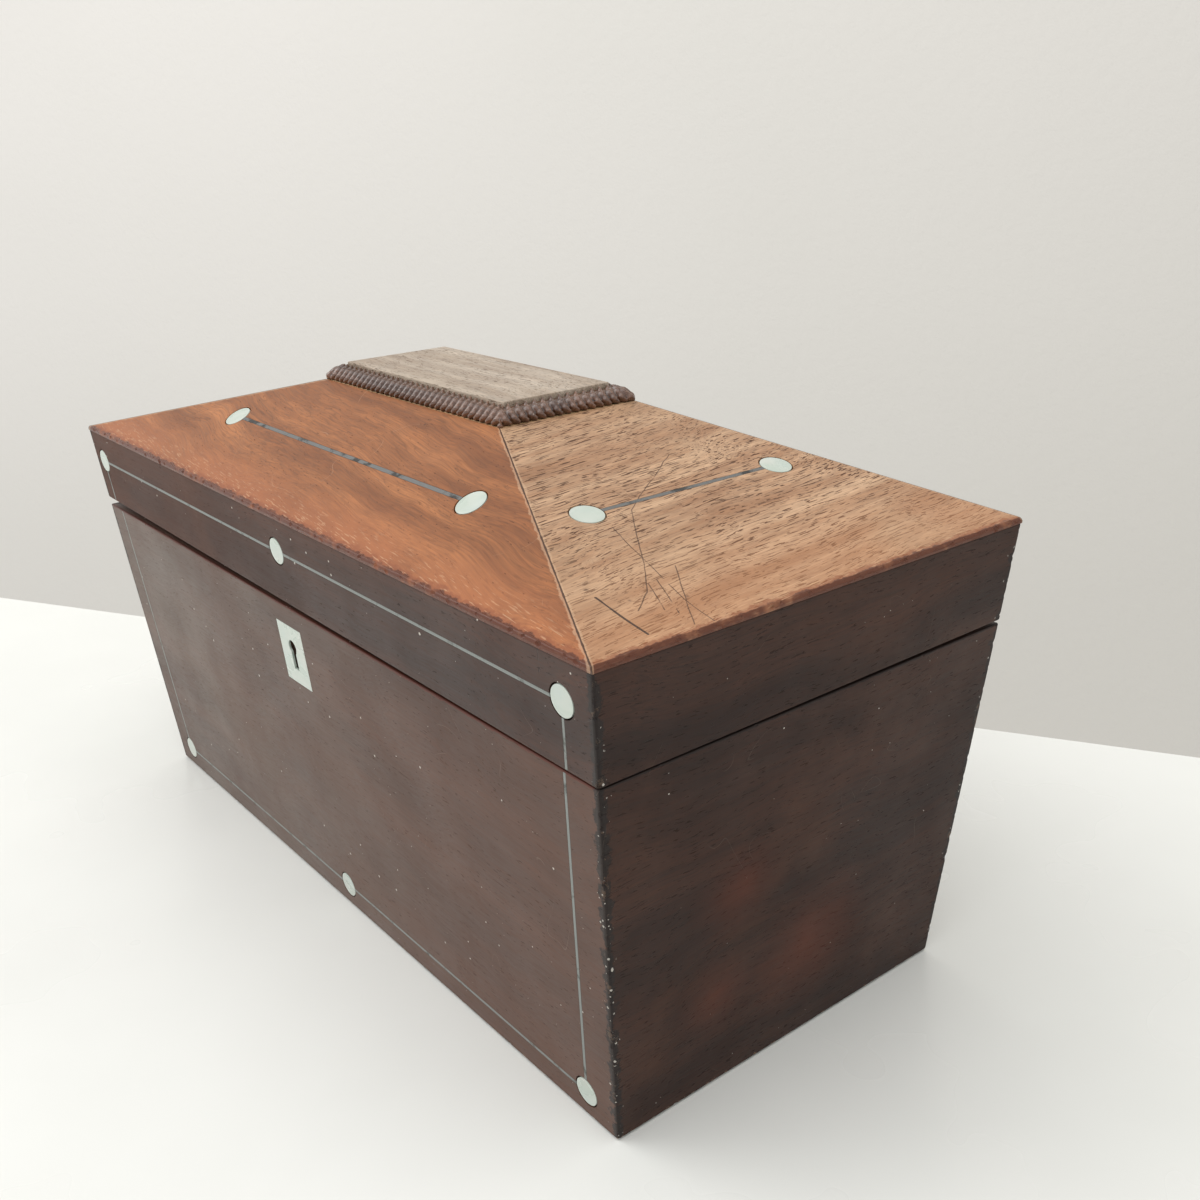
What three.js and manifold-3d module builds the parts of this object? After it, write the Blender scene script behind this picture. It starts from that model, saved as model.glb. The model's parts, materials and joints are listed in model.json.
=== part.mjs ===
// A sarcophagus tea caddy: a tapered veneered box with a hipped lid, pearl and metal inlay, a box lock,
// two butt hinges, two lidded tea compartments and a well for a mixing bowl between them.
// Millimetres. +X runs along the front to the right, -Y is the front, +Z is up, and the origin is the
// centre of the underside.

import * as THREE from 'three';
import Module from 'manifold-3d';
import { ConvexGeometry } from 'three/addons/geometries/ConvexGeometry.js';
import { mergeVertices } from 'three/addons/utils/BufferGeometryUtils.js';

const wasm = await Module();
wasm.setup();

// ---------- Driving dimensions ----------

// The outer shell: flat faces that lean out from the foot to the eaves.
const FOOT_LENGTH = 280.1;
const FOOT_WIDTH = 122;
const EAVE_LENGTH = 305;
const EAVE_WIDTH = 146.9;
const RIM_HEIGHT = 108; // where the lid meets the base
const EAVE_HEIGHT = 138.2;

// The hipped roof and what crowns it.
const CROWN_LENGTH = 101.6;
const CROWN_WIDTH = 48.9;
const CROWN_HEIGHT = 162.5;
const CROWN_THICKNESS = 7;
const EAVE_THICKNESS = 2.5;
const MOULDING_WIDTH = 5.3;
const MOULDING_HEIGHT = 5.2;
const MOULDING_FILLET = 0.8;
const TOP_PANEL_HEIGHT = 5.7;

// Boards.
const WALL = 10;
const BAIZE_THICKNESS = 0.5;
const BAIZE_INSET = 1.5;
const FLOOR_THICKNESS = 6;
const PARTITION_THICKNESS = 5;
const PARTITION_PLACE = 50; // from the middle to a partition's middle
const PARTITION_DROP = 6; // below the rim
const LINER_THICKNESS = 2;
const LINER_DROP = 12; // below the rim, where the tea lids and the bowl board lie
const TEA_LID_THICKNESS = 4;
const BOWL_HOLE_DIAMETER = 84;
const CEILING_THICKNESS = 3;
const CEILING_RISE = 20.6; // above the rim

// The old lid no longer closes true: what stands open between lid and base at each front corner and
// along the back.
const LIFT_FRONT_LEFT = 2.8;
const LIFT_FRONT_RIGHT = 0.2;
const LIFT_BACK = 0.9;

// Clearances.
const GLUE_GAP = 0.2;
const MITRE_GAP = 0.4;
const INLAY_GAP = 0.2;
const TEA_LID_GAP = 0.6;
const MORTISE_GAP = 0.3;
const RUNNING_GAP = 0.15;
const LOOP_SWING_GAP = 0.5;

// Knobs on the tea lids.
const KNOB_RADIUS = 3.8;
const KNOB_HEIGHT = 9;
const KNOB_FOOT_RADIUS = 3.4;
const KNOB_FOOT_HEIGHT = 0.8;
const KNOB_NECK_RADIUS = 1.6;

// Butt hinges.
const HINGE_PLACE = 85;
const HINGE_LENGTH = 38;
const HINGE_KNUCKLES = 5;
const KNUCKLE_RADIUS = 2.4;
const PIN_RADIUS = 1;
const PIN_OUTSET = 0.15; // from the back face at the rim out to the pin
const LEAF_MARGIN = 1; // wood left between a leaf and the inside
const LEAF_THICKNESS = 1.5;

// Box lock and the link plate that it holds.
const LOCK_LENGTH = 44;
const LOCK_HEIGHT = 20;
const LOCK_COVER = 2; // least wood between the lock and the front face
const LOCK_SIDE = 1.2;
const LOCK_SKIN = 0.7;
const LOCK_PLATE_LENGTH = 52;
const LOCK_PLATE_WIDTH = 7;
const LOCK_PLATE_THICKNESS = 1.5;
const LINK_PLATE_LENGTH = 46;
const LOOP_PLACE = 12;
const LOOP_LENGTH = 2;
const LOOP_DROP = 8.5; // below the rim
const LOOP_FOOT = 1.2;
const HOOK_HEIGHT = 2.2;
const HOOK_LENGTH = 4.8;
const HOOK_POST = 2;
const BOLT_BAR_HEIGHT = 2.6;
const BOLT_BAR_DROP = 10.8; // below the rim
const BOLT_TRAVEL = 5;
const BOLT_GAP = 0.2;
const KEY_ROOM_LENGTH = 16;

// Escutcheon and keyhole.
const ESCUTCHEON_WIDTH = 15.9;
const ESCUTCHEON_HEIGHT = 20;
const ESCUTCHEON_CENTRE_X = -1.5;
const ESCUTCHEON_DROP = 16.7; // centre below the rim
const KEYHOLE_RADIUS = 2.4;
const KEYHOLE_SLOT_WIDTH = 3;
const KEYHOLE_HEIGHT = 10;
const KEYHOLE_REACH = 4.5;

// Inlay: thin strings and round pearl discs.
const ROUNDEL_DEPTH = 0.7;
const STRING_DEPTH = 1.4;
const WALL_STRING_WIDTH = 0.9;
const ROOF_STRING_WIDTH = 1.3;
const WALL_ROUNDEL_DIAMETER = 8.2;
const ROOF_ROUNDEL_DIAMETER = 9.1;
const BASE_STRING_INSET = 12.2; // from the corner edges
const BASE_STRING_HEIGHT = 8.6;
const LID_STRING_INSET_LEFT = 8.4;
const LID_STRING_INSET_RIGHT = 11.3;
const LID_STRING_DROP = 11.9; // below the eaves
const MIDDLE_ROUNDEL_X = 2.2;
const STRING_END_MARGIN = 0.5;
const FRONT_SLOPE_ROUNDEL_X = 71.2;
const END_SLOPE_ROUNDEL_Y = 33;
const SLOPE_STRING_PLACE = 0.515; // part of the way up the slope
const ROUND_SEGMENTS = 32;
const SMALL_SEGMENTS = 24;

// Overrun of a cutting shape past the face that it opens.
const OVERRUN = 2;

// ---------- Derived places ----------

const halfLengthAt = (z) => THREE.MathUtils.lerp(FOOT_LENGTH, EAVE_LENGTH, z / EAVE_HEIGHT) / 2;
const halfWidthAt = (z) => THREE.MathUtils.lerp(FOOT_WIDTH, EAVE_WIDTH, z / EAVE_HEIGHT) / 2;

const rimInnerY = halfWidthAt(RIM_HEIGHT) - WALL;
const floorTop = BAIZE_THICKNESS + FLOOR_THICKNESS;
const linerTop = RIM_HEIGHT - LINER_DROP;
const roofFoot = EAVE_HEIGHT - EAVE_THICKNESS;
const crownFoot = CROWN_HEIGHT - CROWN_THICKNESS;
const pinY = halfWidthAt(RIM_HEIGHT) + PIN_OUTSET;
const pinZ = RIM_HEIGHT + LIFT_BACK / 2;
const frontLean = (EAVE_WIDTH - FOOT_WIDTH) / 2 / EAVE_HEIGHT;

// ---------- Solids ----------

function toSolid(geometry) {
  const bare = geometry.clone();
  bare.deleteAttribute('normal');
  bare.deleteAttribute('uv');
  const merged = mergeVertices(bare);
  const vertProperties = merged.attributes.position.array;
  const triVerts = Uint32Array.from(merged.index.array);
  return new wasm.Manifold(new wasm.Mesh({ numProp: 3, vertProperties, triVerts }));
}

function toGeometry(solid) {
  const mesh = solid.getMesh();
  const geometry = new THREE.BufferGeometry();
  geometry.setAttribute('position', new THREE.BufferAttribute(mesh.vertProperties, 3));
  geometry.setIndex(new THREE.BufferAttribute(mesh.triVerts, 1));
  geometry.computeVertexNormals();
  return geometry;
}

const cut = (geometry, ...tools) => toGeometry(
  tools.reduce((solid, tool) => solid.subtract(toSolid(tool)), toSolid(geometry)));

const join = (...geometries) => toGeometry(
  geometries.map(toSolid).reduce((solid, next) => solid.add(next)));

const overlap = (one, other) => toGeometry(toSolid(one).intersect(toSolid(other)));

// The convex solid over a list of corner points.
const hull = (points) => new ConvexGeometry(points.map((point) => new THREE.Vector3(...point)));

const corners = (x, y, z) => [[-x, -y, z], [x, -y, z], [x, y, z], [-x, y, z]];

const mirrorX = (points) => points.map(([x, y, z]) => [-x, y, z]);

// A box between two opposite corners.
function block(low, high) {
  const size = high.map((value, axis) => value - low[axis]);
  const centre = high.map((value, axis) => (value + low[axis]) / 2);
  return new THREE.BoxGeometry(...size).translate(...centre);
}

// A rod along X.
function rodAlongX(radius, from, to, y, z) {
  const rod = new THREE.CylinderGeometry(radius, radius, to - from, SMALL_SEGMENTS);
  return rod.rotateZ(Math.PI / 2).translate((from + to) / 2, y, z);
}

// A solid that fills the leaning shell between two heights, drawn in from its outer faces.
const shellBlock = (low, high, inset) => hull([low, high].flatMap(
  (z) => corners(halfLengthAt(z) - inset, halfWidthAt(z) - inset, z)));

// The section of a wall: distance from the middle, and height.
const wallSection = (halfAt, low, high) => [
  [halfAt(low), low],
  [halfAt(low) - WALL, low],
  [halfAt(high) - WALL, high],
  [halfAt(high), high],
];

// A front (side -1) or back (side 1) board that runs the whole length, from its sections at both ends.
const longBoard = (side, left, right = left) => hull([
  ...left.map(([y, z]) => [-halfLengthAt(z), side * y, z]),
  ...right.map(([y, z]) => [halfLengthAt(z), side * y, z]),
]);

// An end board that fits between the front and back boards, from its sections at both of them.
const endBoard = (side, front, back = front) => hull([
  ...front.map(([x, z]) => [side * x, WALL + GLUE_GAP - halfWidthAt(z), z]),
  ...back.map(([x, z]) => [side * x, halfWidthAt(z) - WALL - GLUE_GAP, z]),
]);

// ---------- Scene graph ----------

const caddy = new THREE.Group();
const base = new THREE.Group();
const lid = new THREE.Group();
caddy.add(base, lid);

const WOODS = {
  rosewood: [0x4a3026, 0.4],
  tan: [0xb27c5a, 0.45],
  pine: [0x9c7a4e, 0.75],
  mahogany: [0x6b3a24, 0.55],
  baize: [0x2f4a34, 0.95],
  pearl: [0xd3dccb, 0.25],
  bone: [0xe6dcc4, 0.4],
};
const METALS = {
  brass: [0xa88546, 0.4],
  pewter: [0x8c8a80, 0.45],
  iron: [0x5a5650, 0.5],
};

function finish(name) {
  const metalness = name in METALS ? 1 : 0;
  const [color, roughness] = METALS[name] ?? WOODS[name];
  return new THREE.MeshStandardMaterial({ color, roughness, metalness });
}

function addPiece(parent, name, geometry, finishName) {
  const mesh = new THREE.Mesh(geometry, finish(finishName));
  mesh.name = name;
  parent.add(mesh);
  return mesh;
}

// ---------- Inlay ----------

// The frame of a face: X along it, Y up it, Z out of it.
function faceFrame(origin, along, up) {
  const x = new THREE.Vector3(...along).normalize();
  const y = new THREE.Vector3(...up).normalize();
  const z = new THREE.Vector3().crossVectors(x, y);
  return new THREE.Matrix4().makeBasis(x, y, z).setPosition(...origin);
}

const frontFrame = faceFrame(
  [0, -FOOT_WIDTH / 2, 0], [1, 0, 0], [0, -frontLean * EAVE_HEIGHT, EAVE_HEIGHT]);
const upFront = (z) => z * Math.hypot(1, frontLean); // a height measured up the front face

// An outline let into a face, from the surface down.
const plateIn = (shape, depth) => new THREE.ExtrudeGeometry(shape, { depth, bevelEnabled: false })
  .translate(0, 0, -depth);

// The pocket for an inlay: the same outline, run out past the surface.
const pocketIn = (shape, depth) => new THREE.ExtrudeGeometry(
  shape, { depth: depth + OVERRUN, bevelEnabled: false }).translate(0, 0, -depth);

const polygon = (points) => new THREE.Shape(points.map(([x, y]) => new THREE.Vector2(x, y)));

function discShape(x, y, radius) {
  const shape = new THREE.Shape();
  shape.absarc(x, y, radius, 0, 2 * Math.PI);
  return shape;
}

// The band along a run of points, each of which says where its two edges lie.
const bandShape = (run, width) => polygon([
  ...run.map(([x, y, sideX, sideY]) => [x + sideX * width / 2, y + sideY * width / 2]),
  ...run.map(([x, y, sideX, sideY]) => [x - sideX * width / 2, y - sideY * width / 2]).reverse(),
]);

// Lets a string and its discs into a face. Returns the pockets, in the object's frame.
function addInlay(parent, name, frame, run, stringWidth, discs, discDiameter) {
  const pocketDepth = ROUNDEL_DEPTH + INLAY_GAP;
  const discPockets = discs.map(([x, y]) => pocketIn(
    discShape(x, y, discDiameter / 2 + INLAY_GAP), pocketDepth));
  const string = cut(plateIn(bandShape(run, stringWidth), STRING_DEPTH), ...discPockets);
  addPiece(parent, `${name}_string`, string, 'pewter').applyMatrix4(frame);
  discs.forEach(([x, y, place]) => {
    const disc = plateIn(discShape(x, y, discDiameter / 2), ROUNDEL_DEPTH);
    addPiece(parent, `${name}_${place}_roundel`, disc, 'pearl').applyMatrix4(frame);
  });
  const stringPocket = pocketIn(
    bandShape(run, stringWidth + 2 * INLAY_GAP), STRING_DEPTH + INLAY_GAP);
  return [stringPocket, ...discPockets].map((pocket) => pocket.applyMatrix4(frame));
}

// A string that turns twice: its legs end at two heights, and the turn lies at another.
function legRun(leftX, rightX, leftEnd, rightEnd, turn) {
  const down = Math.sign(leftEnd - turn);
  return [
    [leftX(leftEnd), upFront(leftEnd), -1, 0],
    [leftX(turn), upFront(turn), -1, -down],
    [rightX(turn), upFront(turn), 1, -down],
    [rightX(rightEnd), upFront(rightEnd), 1, 0],
  ];
}

// ---------- Box lock and escutcheon ----------

const lockSlotLow = RIM_HEIGHT - LOCK_PLATE_THICKNESS - LOCK_HEIGHT;
const lockDepth = WALL - LOCK_COVER - frontLean * (RIM_HEIGHT - lockSlotLow);
const lockBack = -rimInnerY;
const lockFront = lockBack - lockDepth;
const lockMiddle = (lockBack + lockFront) / 2;
const loopWidth = lockDepth - 2 * LOCK_SKIN - 2 * LOOP_SWING_GAP;
const loopWindow = loopWidth / 2;
const boltThickness = loopWindow - 2 * BOLT_GAP;
const hookTop = RIM_HEIGHT - LOOP_DROP + LOOP_FOOT + BOLT_GAP + HOOK_HEIGHT;
const boltBarTop = RIM_HEIGHT - BOLT_BAR_DROP;
const boltBarFoot = boltBarTop - BOLT_BAR_HEIGHT;
const linkPlateFoot = RIM_HEIGHT + (LIFT_FRONT_LEFT + LIFT_FRONT_RIGHT) / 2;

// The keyhole: a round head over a narrower slot, cut square to the front face.
function keyholeCutter() {
  const headY = upFront(RIM_HEIGHT - ESCUTCHEON_DROP) + KEYHOLE_HEIGHT / 2 - KEYHOLE_RADIUS;
  const footY = headY + KEYHOLE_RADIUS - KEYHOLE_HEIGHT;
  const halfSlot = KEYHOLE_SLOT_WIDTH / 2;
  const slotAngle = Math.asin(halfSlot / KEYHOLE_RADIUS);
  const shape = new THREE.Shape();
  shape.moveTo(ESCUTCHEON_CENTRE_X - halfSlot, footY);
  shape.lineTo(ESCUTCHEON_CENTRE_X + halfSlot, footY);
  shape.absarc(
    ESCUTCHEON_CENTRE_X, headY, KEYHOLE_RADIUS, slotAngle - Math.PI / 2, 1.5 * Math.PI - slotAngle);
  return pocketIn(shape, KEYHOLE_REACH);
}

// The rectangle that the escutcheon fills, grown by a margin.
function escutcheonShape(margin) {
  const halfWidth = ESCUTCHEON_WIDTH / 2 + margin;
  const halfHeight = ESCUTCHEON_HEIGHT / 2 + margin;
  const y = upFront(RIM_HEIGHT - ESCUTCHEON_DROP);
  return polygon([[-1, -1], [1, -1], [1, 1], [-1, 1]].map(
    ([sideX, sideY]) => [ESCUTCHEON_CENTRE_X + sideX * halfWidth, y + sideY * halfHeight]));
}

// One link loop: a flat link with a window for the bolt's hook, from its foot to a given height.
function loopBlock(side, top) {
  const x = side * LOOP_PLACE;
  const foot = RIM_HEIGHT - LOOP_DROP;
  const windowFoot = foot + LOOP_FOOT;
  const body = block(
    [x - LOOP_LENGTH / 2, lockMiddle - loopWidth / 2, foot],
    [x + LOOP_LENGTH / 2, lockMiddle + loopWidth / 2, top]);
  const window = block(
    [x - LOOP_LENGTH, lockMiddle - loopWindow / 2, windowFoot],
    [x + LOOP_LENGTH, lockMiddle + loopWindow / 2, hookTop + BOLT_GAP]);
  return cut(body, window);
}

function addLock() {
  const halfLock = LOCK_LENGTH / 2;
  const plateFoot = RIM_HEIGHT - LOCK_PLATE_THICKNESS;
  const slotHalf = lockDepth / 2 - LOCK_SKIN;
  const roomFoot = lockSlotLow + LOCK_SIDE;
  const bar = block(
    [LOCK_SIDE + BOLT_GAP - halfLock, lockMiddle - boltThickness / 2, boltBarFoot],
    [LOOP_PLACE, lockMiddle + boltThickness / 2, boltBarTop]);
  const hooks = [-1, 1].flatMap((side) => {
    const tip = side * LOOP_PLACE - LOOP_LENGTH / 2 - LOOP_SWING_GAP;
    const root = tip - HOOK_LENGTH;
    const y = [lockMiddle - boltThickness / 2, lockMiddle + boltThickness / 2];
    return [
      block([root, y[0], hookTop - HOOK_HEIGHT], [tip, y[1], hookTop]),
      block([root - HOOK_POST, y[0], boltBarFoot], [root, y[1], hookTop]),
    ];
  });
  addPiece(base, 'lock_bolt', join(bar, ...hooks), 'iron');

  const lockCase = block([-halfLock, lockFront, lockSlotLow], [halfLock, lockBack, plateFoot]);
  const boltRoom = block(
    [LOCK_SIDE - halfLock, lockMiddle - slotHalf, boltBarFoot - BOLT_GAP],
    [halfLock - LOCK_SIDE, lockMiddle + slotHalf, plateFoot + OVERRUN]);
  const keyRoom = block(
    [ESCUTCHEON_CENTRE_X - KEY_ROOM_LENGTH / 2, lockMiddle - slotHalf, roomFoot],
    [ESCUTCHEON_CENTRE_X + KEY_ROOM_LENGTH / 2, lockMiddle + slotHalf, boltBarTop]);
  const keyhole = keyholeCutter().applyMatrix4(frontFrame);
  addPiece(base, 'lock_case', cut(lockCase, boltRoom, keyRoom, keyhole), 'brass');

  const plate = block(
    [-LOCK_PLATE_LENGTH / 2, lockBack - LOCK_PLATE_WIDTH, plateFoot],
    [LOCK_PLATE_LENGTH / 2, lockBack, RIM_HEIGHT]);
  const slots = [-1, 1].map((side) => block(
    [side * LOOP_PLACE - LOOP_LENGTH / 2 - LOOP_SWING_GAP, lockMiddle - slotHalf, plateFoot - OVERRUN],
    [side * LOOP_PLACE + LOOP_LENGTH / 2 + LOOP_SWING_GAP, lockMiddle + slotHalf, RIM_HEIGHT + OVERRUN]));
  addPiece(base, 'lock_plate', cut(plate, ...slots), 'brass');

  const escutcheon = cut(plateIn(escutcheonShape(0), ROUNDEL_DEPTH), keyholeCutter());
  addPiece(base, 'escutcheon', escutcheon, 'pearl').applyMatrix4(frontFrame);

  // The pockets in the front board.
  return [
    block(
      [-halfLock - MORTISE_GAP, lockFront - MORTISE_GAP, lockSlotLow - MORTISE_GAP],
      [halfLock + MORTISE_GAP, lockBack + WALL, RIM_HEIGHT + OVERRUN]),
    block(
      [-LOCK_PLATE_LENGTH / 2 - MORTISE_GAP, lockBack - LOCK_PLATE_WIDTH - MORTISE_GAP,
        plateFoot - MORTISE_GAP],
      [LOCK_PLATE_LENGTH / 2 + MORTISE_GAP, lockBack + WALL, RIM_HEIGHT + OVERRUN]),
    keyholeCutter().applyMatrix4(frontFrame),
    pocketIn(escutcheonShape(INLAY_GAP), ROUNDEL_DEPTH + INLAY_GAP).applyMatrix4(frontFrame),
  ];
}

// The link plate in the lid's front edge. Returns its pocket.
function addLinkPlate() {
  const top = linkPlateFoot + LOCK_PLATE_THICKNESS;
  const y = [lockMiddle - lockDepth / 2, lockMiddle + lockDepth / 2];
  const plate = block(
    [-LINK_PLATE_LENGTH / 2, y[0], linkPlateFoot], [LINK_PLATE_LENGTH / 2, y[1], top]);
  const link = join(plate, loopBlock(-1, top), loopBlock(1, top));
  addPiece(lid, 'link_plate', link, 'brass');
  return block(
    [-LINK_PLATE_LENGTH / 2 - MORTISE_GAP, y[0] - MORTISE_GAP, RIM_HEIGHT - OVERRUN],
    [LINK_PLATE_LENGTH / 2 + MORTISE_GAP, lockBack + WALL, top + MORTISE_GAP]);
}

// ---------- Butt hinges ----------

const leafReach = WALL + PIN_OUTSET - LEAF_MARGIN;
const knuckleLength = HINGE_LENGTH / HINGE_KNUCKLES;

// One leaf, about its pin: side -1 lies in the base's rim and 1 in the lid's edge.
function hingeLeaf(side) {
  const near = side * LIFT_BACK / 2;
  const far = near + side * LEAF_THICKNESS;
  const half = HINGE_LENGTH / 2;
  const plate = block([-half, -leafReach, Math.min(near, far)], [half, 0, Math.max(near, far)]);
  const own = [];
  const others = [];
  for (let index = 0; index < HINGE_KNUCKLES; index += 1) {
    const start = index * knuckleLength - half;
    const isOwn = (index % 2 === 0) === (side < 0);
    if (isOwn) {
      own.push(rodAlongX(
        KNUCKLE_RADIUS, start + RUNNING_GAP, start + knuckleLength - RUNNING_GAP, 0, 0));
    } else {
      others.push(rodAlongX(
        KNUCKLE_RADIUS + MORTISE_GAP, start - RUNNING_GAP, start + knuckleLength + RUNNING_GAP, 0, 0));
    }
  }
  const bore = rodAlongX(PIN_RADIUS + RUNNING_GAP, -HINGE_LENGTH, HINGE_LENGTH, 0, 0);
  return cut(join(cut(plate, ...others), ...own), bore);
}

// The mortise for one leaf and its knuckles.
function leafMortise(x, side) {
  const half = HINGE_LENGTH / 2 + MORTISE_GAP;
  const near = pinZ - side * OVERRUN;
  const far = pinZ + side * (LIFT_BACK / 2 + LEAF_THICKNESS + MORTISE_GAP);
  return [
    block(
      [x - half, pinY - leafReach - MORTISE_GAP, Math.min(near, far)],
      [x + half, pinY + OVERRUN, Math.max(near, far)]),
    rodAlongX(KNUCKLE_RADIUS + MORTISE_GAP, x - half, x + half, pinY, pinZ),
  ];
}

function addHinge(name, x) {
  const pin = rodAlongX(PIN_RADIUS, -HINGE_LENGTH / 2, HINGE_LENGTH / 2, 0, 0);
  const pieces = [
    addPiece(base, `${name}_hinge_lower_leaf`, hingeLeaf(-1), 'brass'),
    addPiece(lid, `${name}_hinge_upper_leaf`, hingeLeaf(1), 'brass'),
    addPiece(base, `${name}_hinge_pin`, pin, 'iron'),
  ];
  pieces.forEach((piece) => piece.position.set(x, pinY, pinZ));
}

const hingePlaces = { left: -HINGE_PLACE, right: HINGE_PLACE };
Object.entries(hingePlaces).forEach(([name, x]) => addHinge(name, x));
const hingeMortises = (side) => Object.values(hingePlaces).flatMap((x) => leafMortise(x, side));

// ---------- Base ----------

function addBase() {
  const stringX = (z) => halfLengthAt(z) - BASE_STRING_INSET;
  const stringTop = RIM_HEIGHT - STRING_END_MARGIN;
  const discY = upFront(BASE_STRING_HEIGHT);
  const run = legRun((z) => -stringX(z), stringX, stringTop, stringTop, BASE_STRING_HEIGHT);
  const discs = [
    [-stringX(BASE_STRING_HEIGHT), discY, 'left'],
    [MIDDLE_ROUNDEL_X, discY, 'middle'],
    [stringX(BASE_STRING_HEIGHT), discY, 'right'],
  ];
  const inlayPockets = addInlay(
    base, 'base', frontFrame, run, WALL_STRING_WIDTH, discs, WALL_ROUNDEL_DIAMETER);

  const longSection = wallSection(halfWidthAt, BAIZE_THICKNESS, RIM_HEIGHT);
  const endSection = wallSection(halfLengthAt, BAIZE_THICKNESS, RIM_HEIGHT);
  addPiece(base, 'base_front_board', cut(longBoard(-1, longSection), ...addLock(), ...inlayPockets),
    'rosewood');
  addPiece(base, 'base_back_board', cut(longBoard(1, longSection), ...hingeMortises(-1)), 'rosewood');
  addPiece(base, 'base_left_board', endBoard(-1, endSection), 'rosewood');
  addPiece(base, 'base_right_board', endBoard(1, endSection), 'rosewood');
  addPiece(base, 'bottom_board', shellBlock(BAIZE_THICKNESS, floorTop, WALL + GLUE_GAP), 'pine');
  addPiece(base, 'underside_baize', shellBlock(0, BAIZE_THICKNESS, BAIZE_INSET), 'baize');
}

// ---------- Inside of the base ----------

const compartmentNearX = PARTITION_PLACE + PARTITION_THICKNESS / 2;

// A solid that fills the right-hand (side 1) or left-hand compartment between two heights.
function compartmentBlock(side, low, high, inset) {
  const points = [low, high].flatMap((z) => {
    const x = [compartmentNearX + inset, halfLengthAt(z) - WALL - inset];
    const y = halfWidthAt(z) - WALL - inset;
    return [[x[0], -y, z], [x[1], -y, z], [x[1], y, z], [x[0], y, z]];
  });
  return hull(side < 0 ? mirrorX(points) : points);
}

// The cross board between two X places and two heights, fitted between the front and back boards.
const crossBoard = (x, low, high) => hull([low, high].flatMap((z) => {
  const y = halfWidthAt(z) - WALL - GLUE_GAP;
  return [[x[0], -y, z], [x[1], -y, z], [x[1], y, z], [x[0], y, z]];
}));

function addKnob(name, x, foot) {
  const outline = new THREE.Path();
  const neckAngle = Math.asin(KNOB_NECK_RADIUS / KNOB_RADIUS);
  outline.moveTo(0, 0);
  outline.lineTo(KNOB_FOOT_RADIUS, 0);
  outline.lineTo(KNOB_FOOT_RADIUS, KNOB_FOOT_HEIGHT);
  outline.absarc(0, KNOB_HEIGHT - KNOB_RADIUS, KNOB_RADIUS, neckAngle - Math.PI / 2, Math.PI / 2);
  const profile = outline.getPoints(ROUND_SEGMENTS / 4);
  profile[profile.length - 1].x = 0;
  const knob = new THREE.LatheGeometry(profile, SMALL_SEGMENTS).rotateX(Math.PI / 2);
  addPiece(base, name, knob, 'bone').position.set(x, 0, foot);
}

function addInterior() {
  const innerFoot = floorTop + GLUE_GAP;
  const bowlHalf = PARTITION_PLACE - PARTITION_THICKNESS / 2 - GLUE_GAP;
  Object.entries({ left: -1, right: 1 }).forEach(([name, side]) => {
    const near = side * PARTITION_PLACE - PARTITION_THICKNESS / 2;
    const partition = crossBoard(
      [near, near + PARTITION_THICKNESS], innerFoot, RIM_HEIGHT - PARTITION_DROP);
    addPiece(base, `${name}_partition`, partition, 'mahogany');
    const liner = cut(
      compartmentBlock(side, innerFoot, linerTop, GLUE_GAP),
      compartmentBlock(side, innerFoot - OVERRUN, linerTop + OVERRUN, GLUE_GAP + LINER_THICKNESS));
    addPiece(base, `${name}_tea_liner`, liner, 'pewter');
    const lidTop = linerTop + TEA_LID_THICKNESS;
    addPiece(base, `${name}_tea_lid`, compartmentBlock(side, linerTop, lidTop, TEA_LID_GAP), 'rosewood');
    const middle = (compartmentNearX + halfLengthAt(linerTop) - WALL) / 2;
    addKnob(`${name}_tea_lid_knob`, side * middle, lidTop);
  });
  const bowlBoard = crossBoard([-bowlHalf, bowlHalf], linerTop, linerTop + TEA_LID_THICKNESS);
  const bowlHole = new THREE.CylinderGeometry(
    BOWL_HOLE_DIAMETER / 2, BOWL_HOLE_DIAMETER / 2, LINER_DROP * 2, ROUND_SEGMENTS * 2);
  addPiece(base, 'bowl_board', cut(bowlBoard, bowlHole.rotateX(Math.PI / 2).translate(0, 0, linerTop)),
    'rosewood');
}

// ---------- Lid ----------

// The space below the roof boards, which the lid's walls are cut to.
const underRoof = hull([
  ...corners(halfLengthAt(roofFoot), halfWidthAt(roofFoot), RIM_HEIGHT - OVERRUN),
  ...corners(halfLengthAt(roofFoot), halfWidthAt(roofFoot), roofFoot - GLUE_GAP),
  ...corners(CROWN_LENGTH / 2, CROWN_WIDTH / 2, crownFoot - GLUE_GAP),
]);

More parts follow.
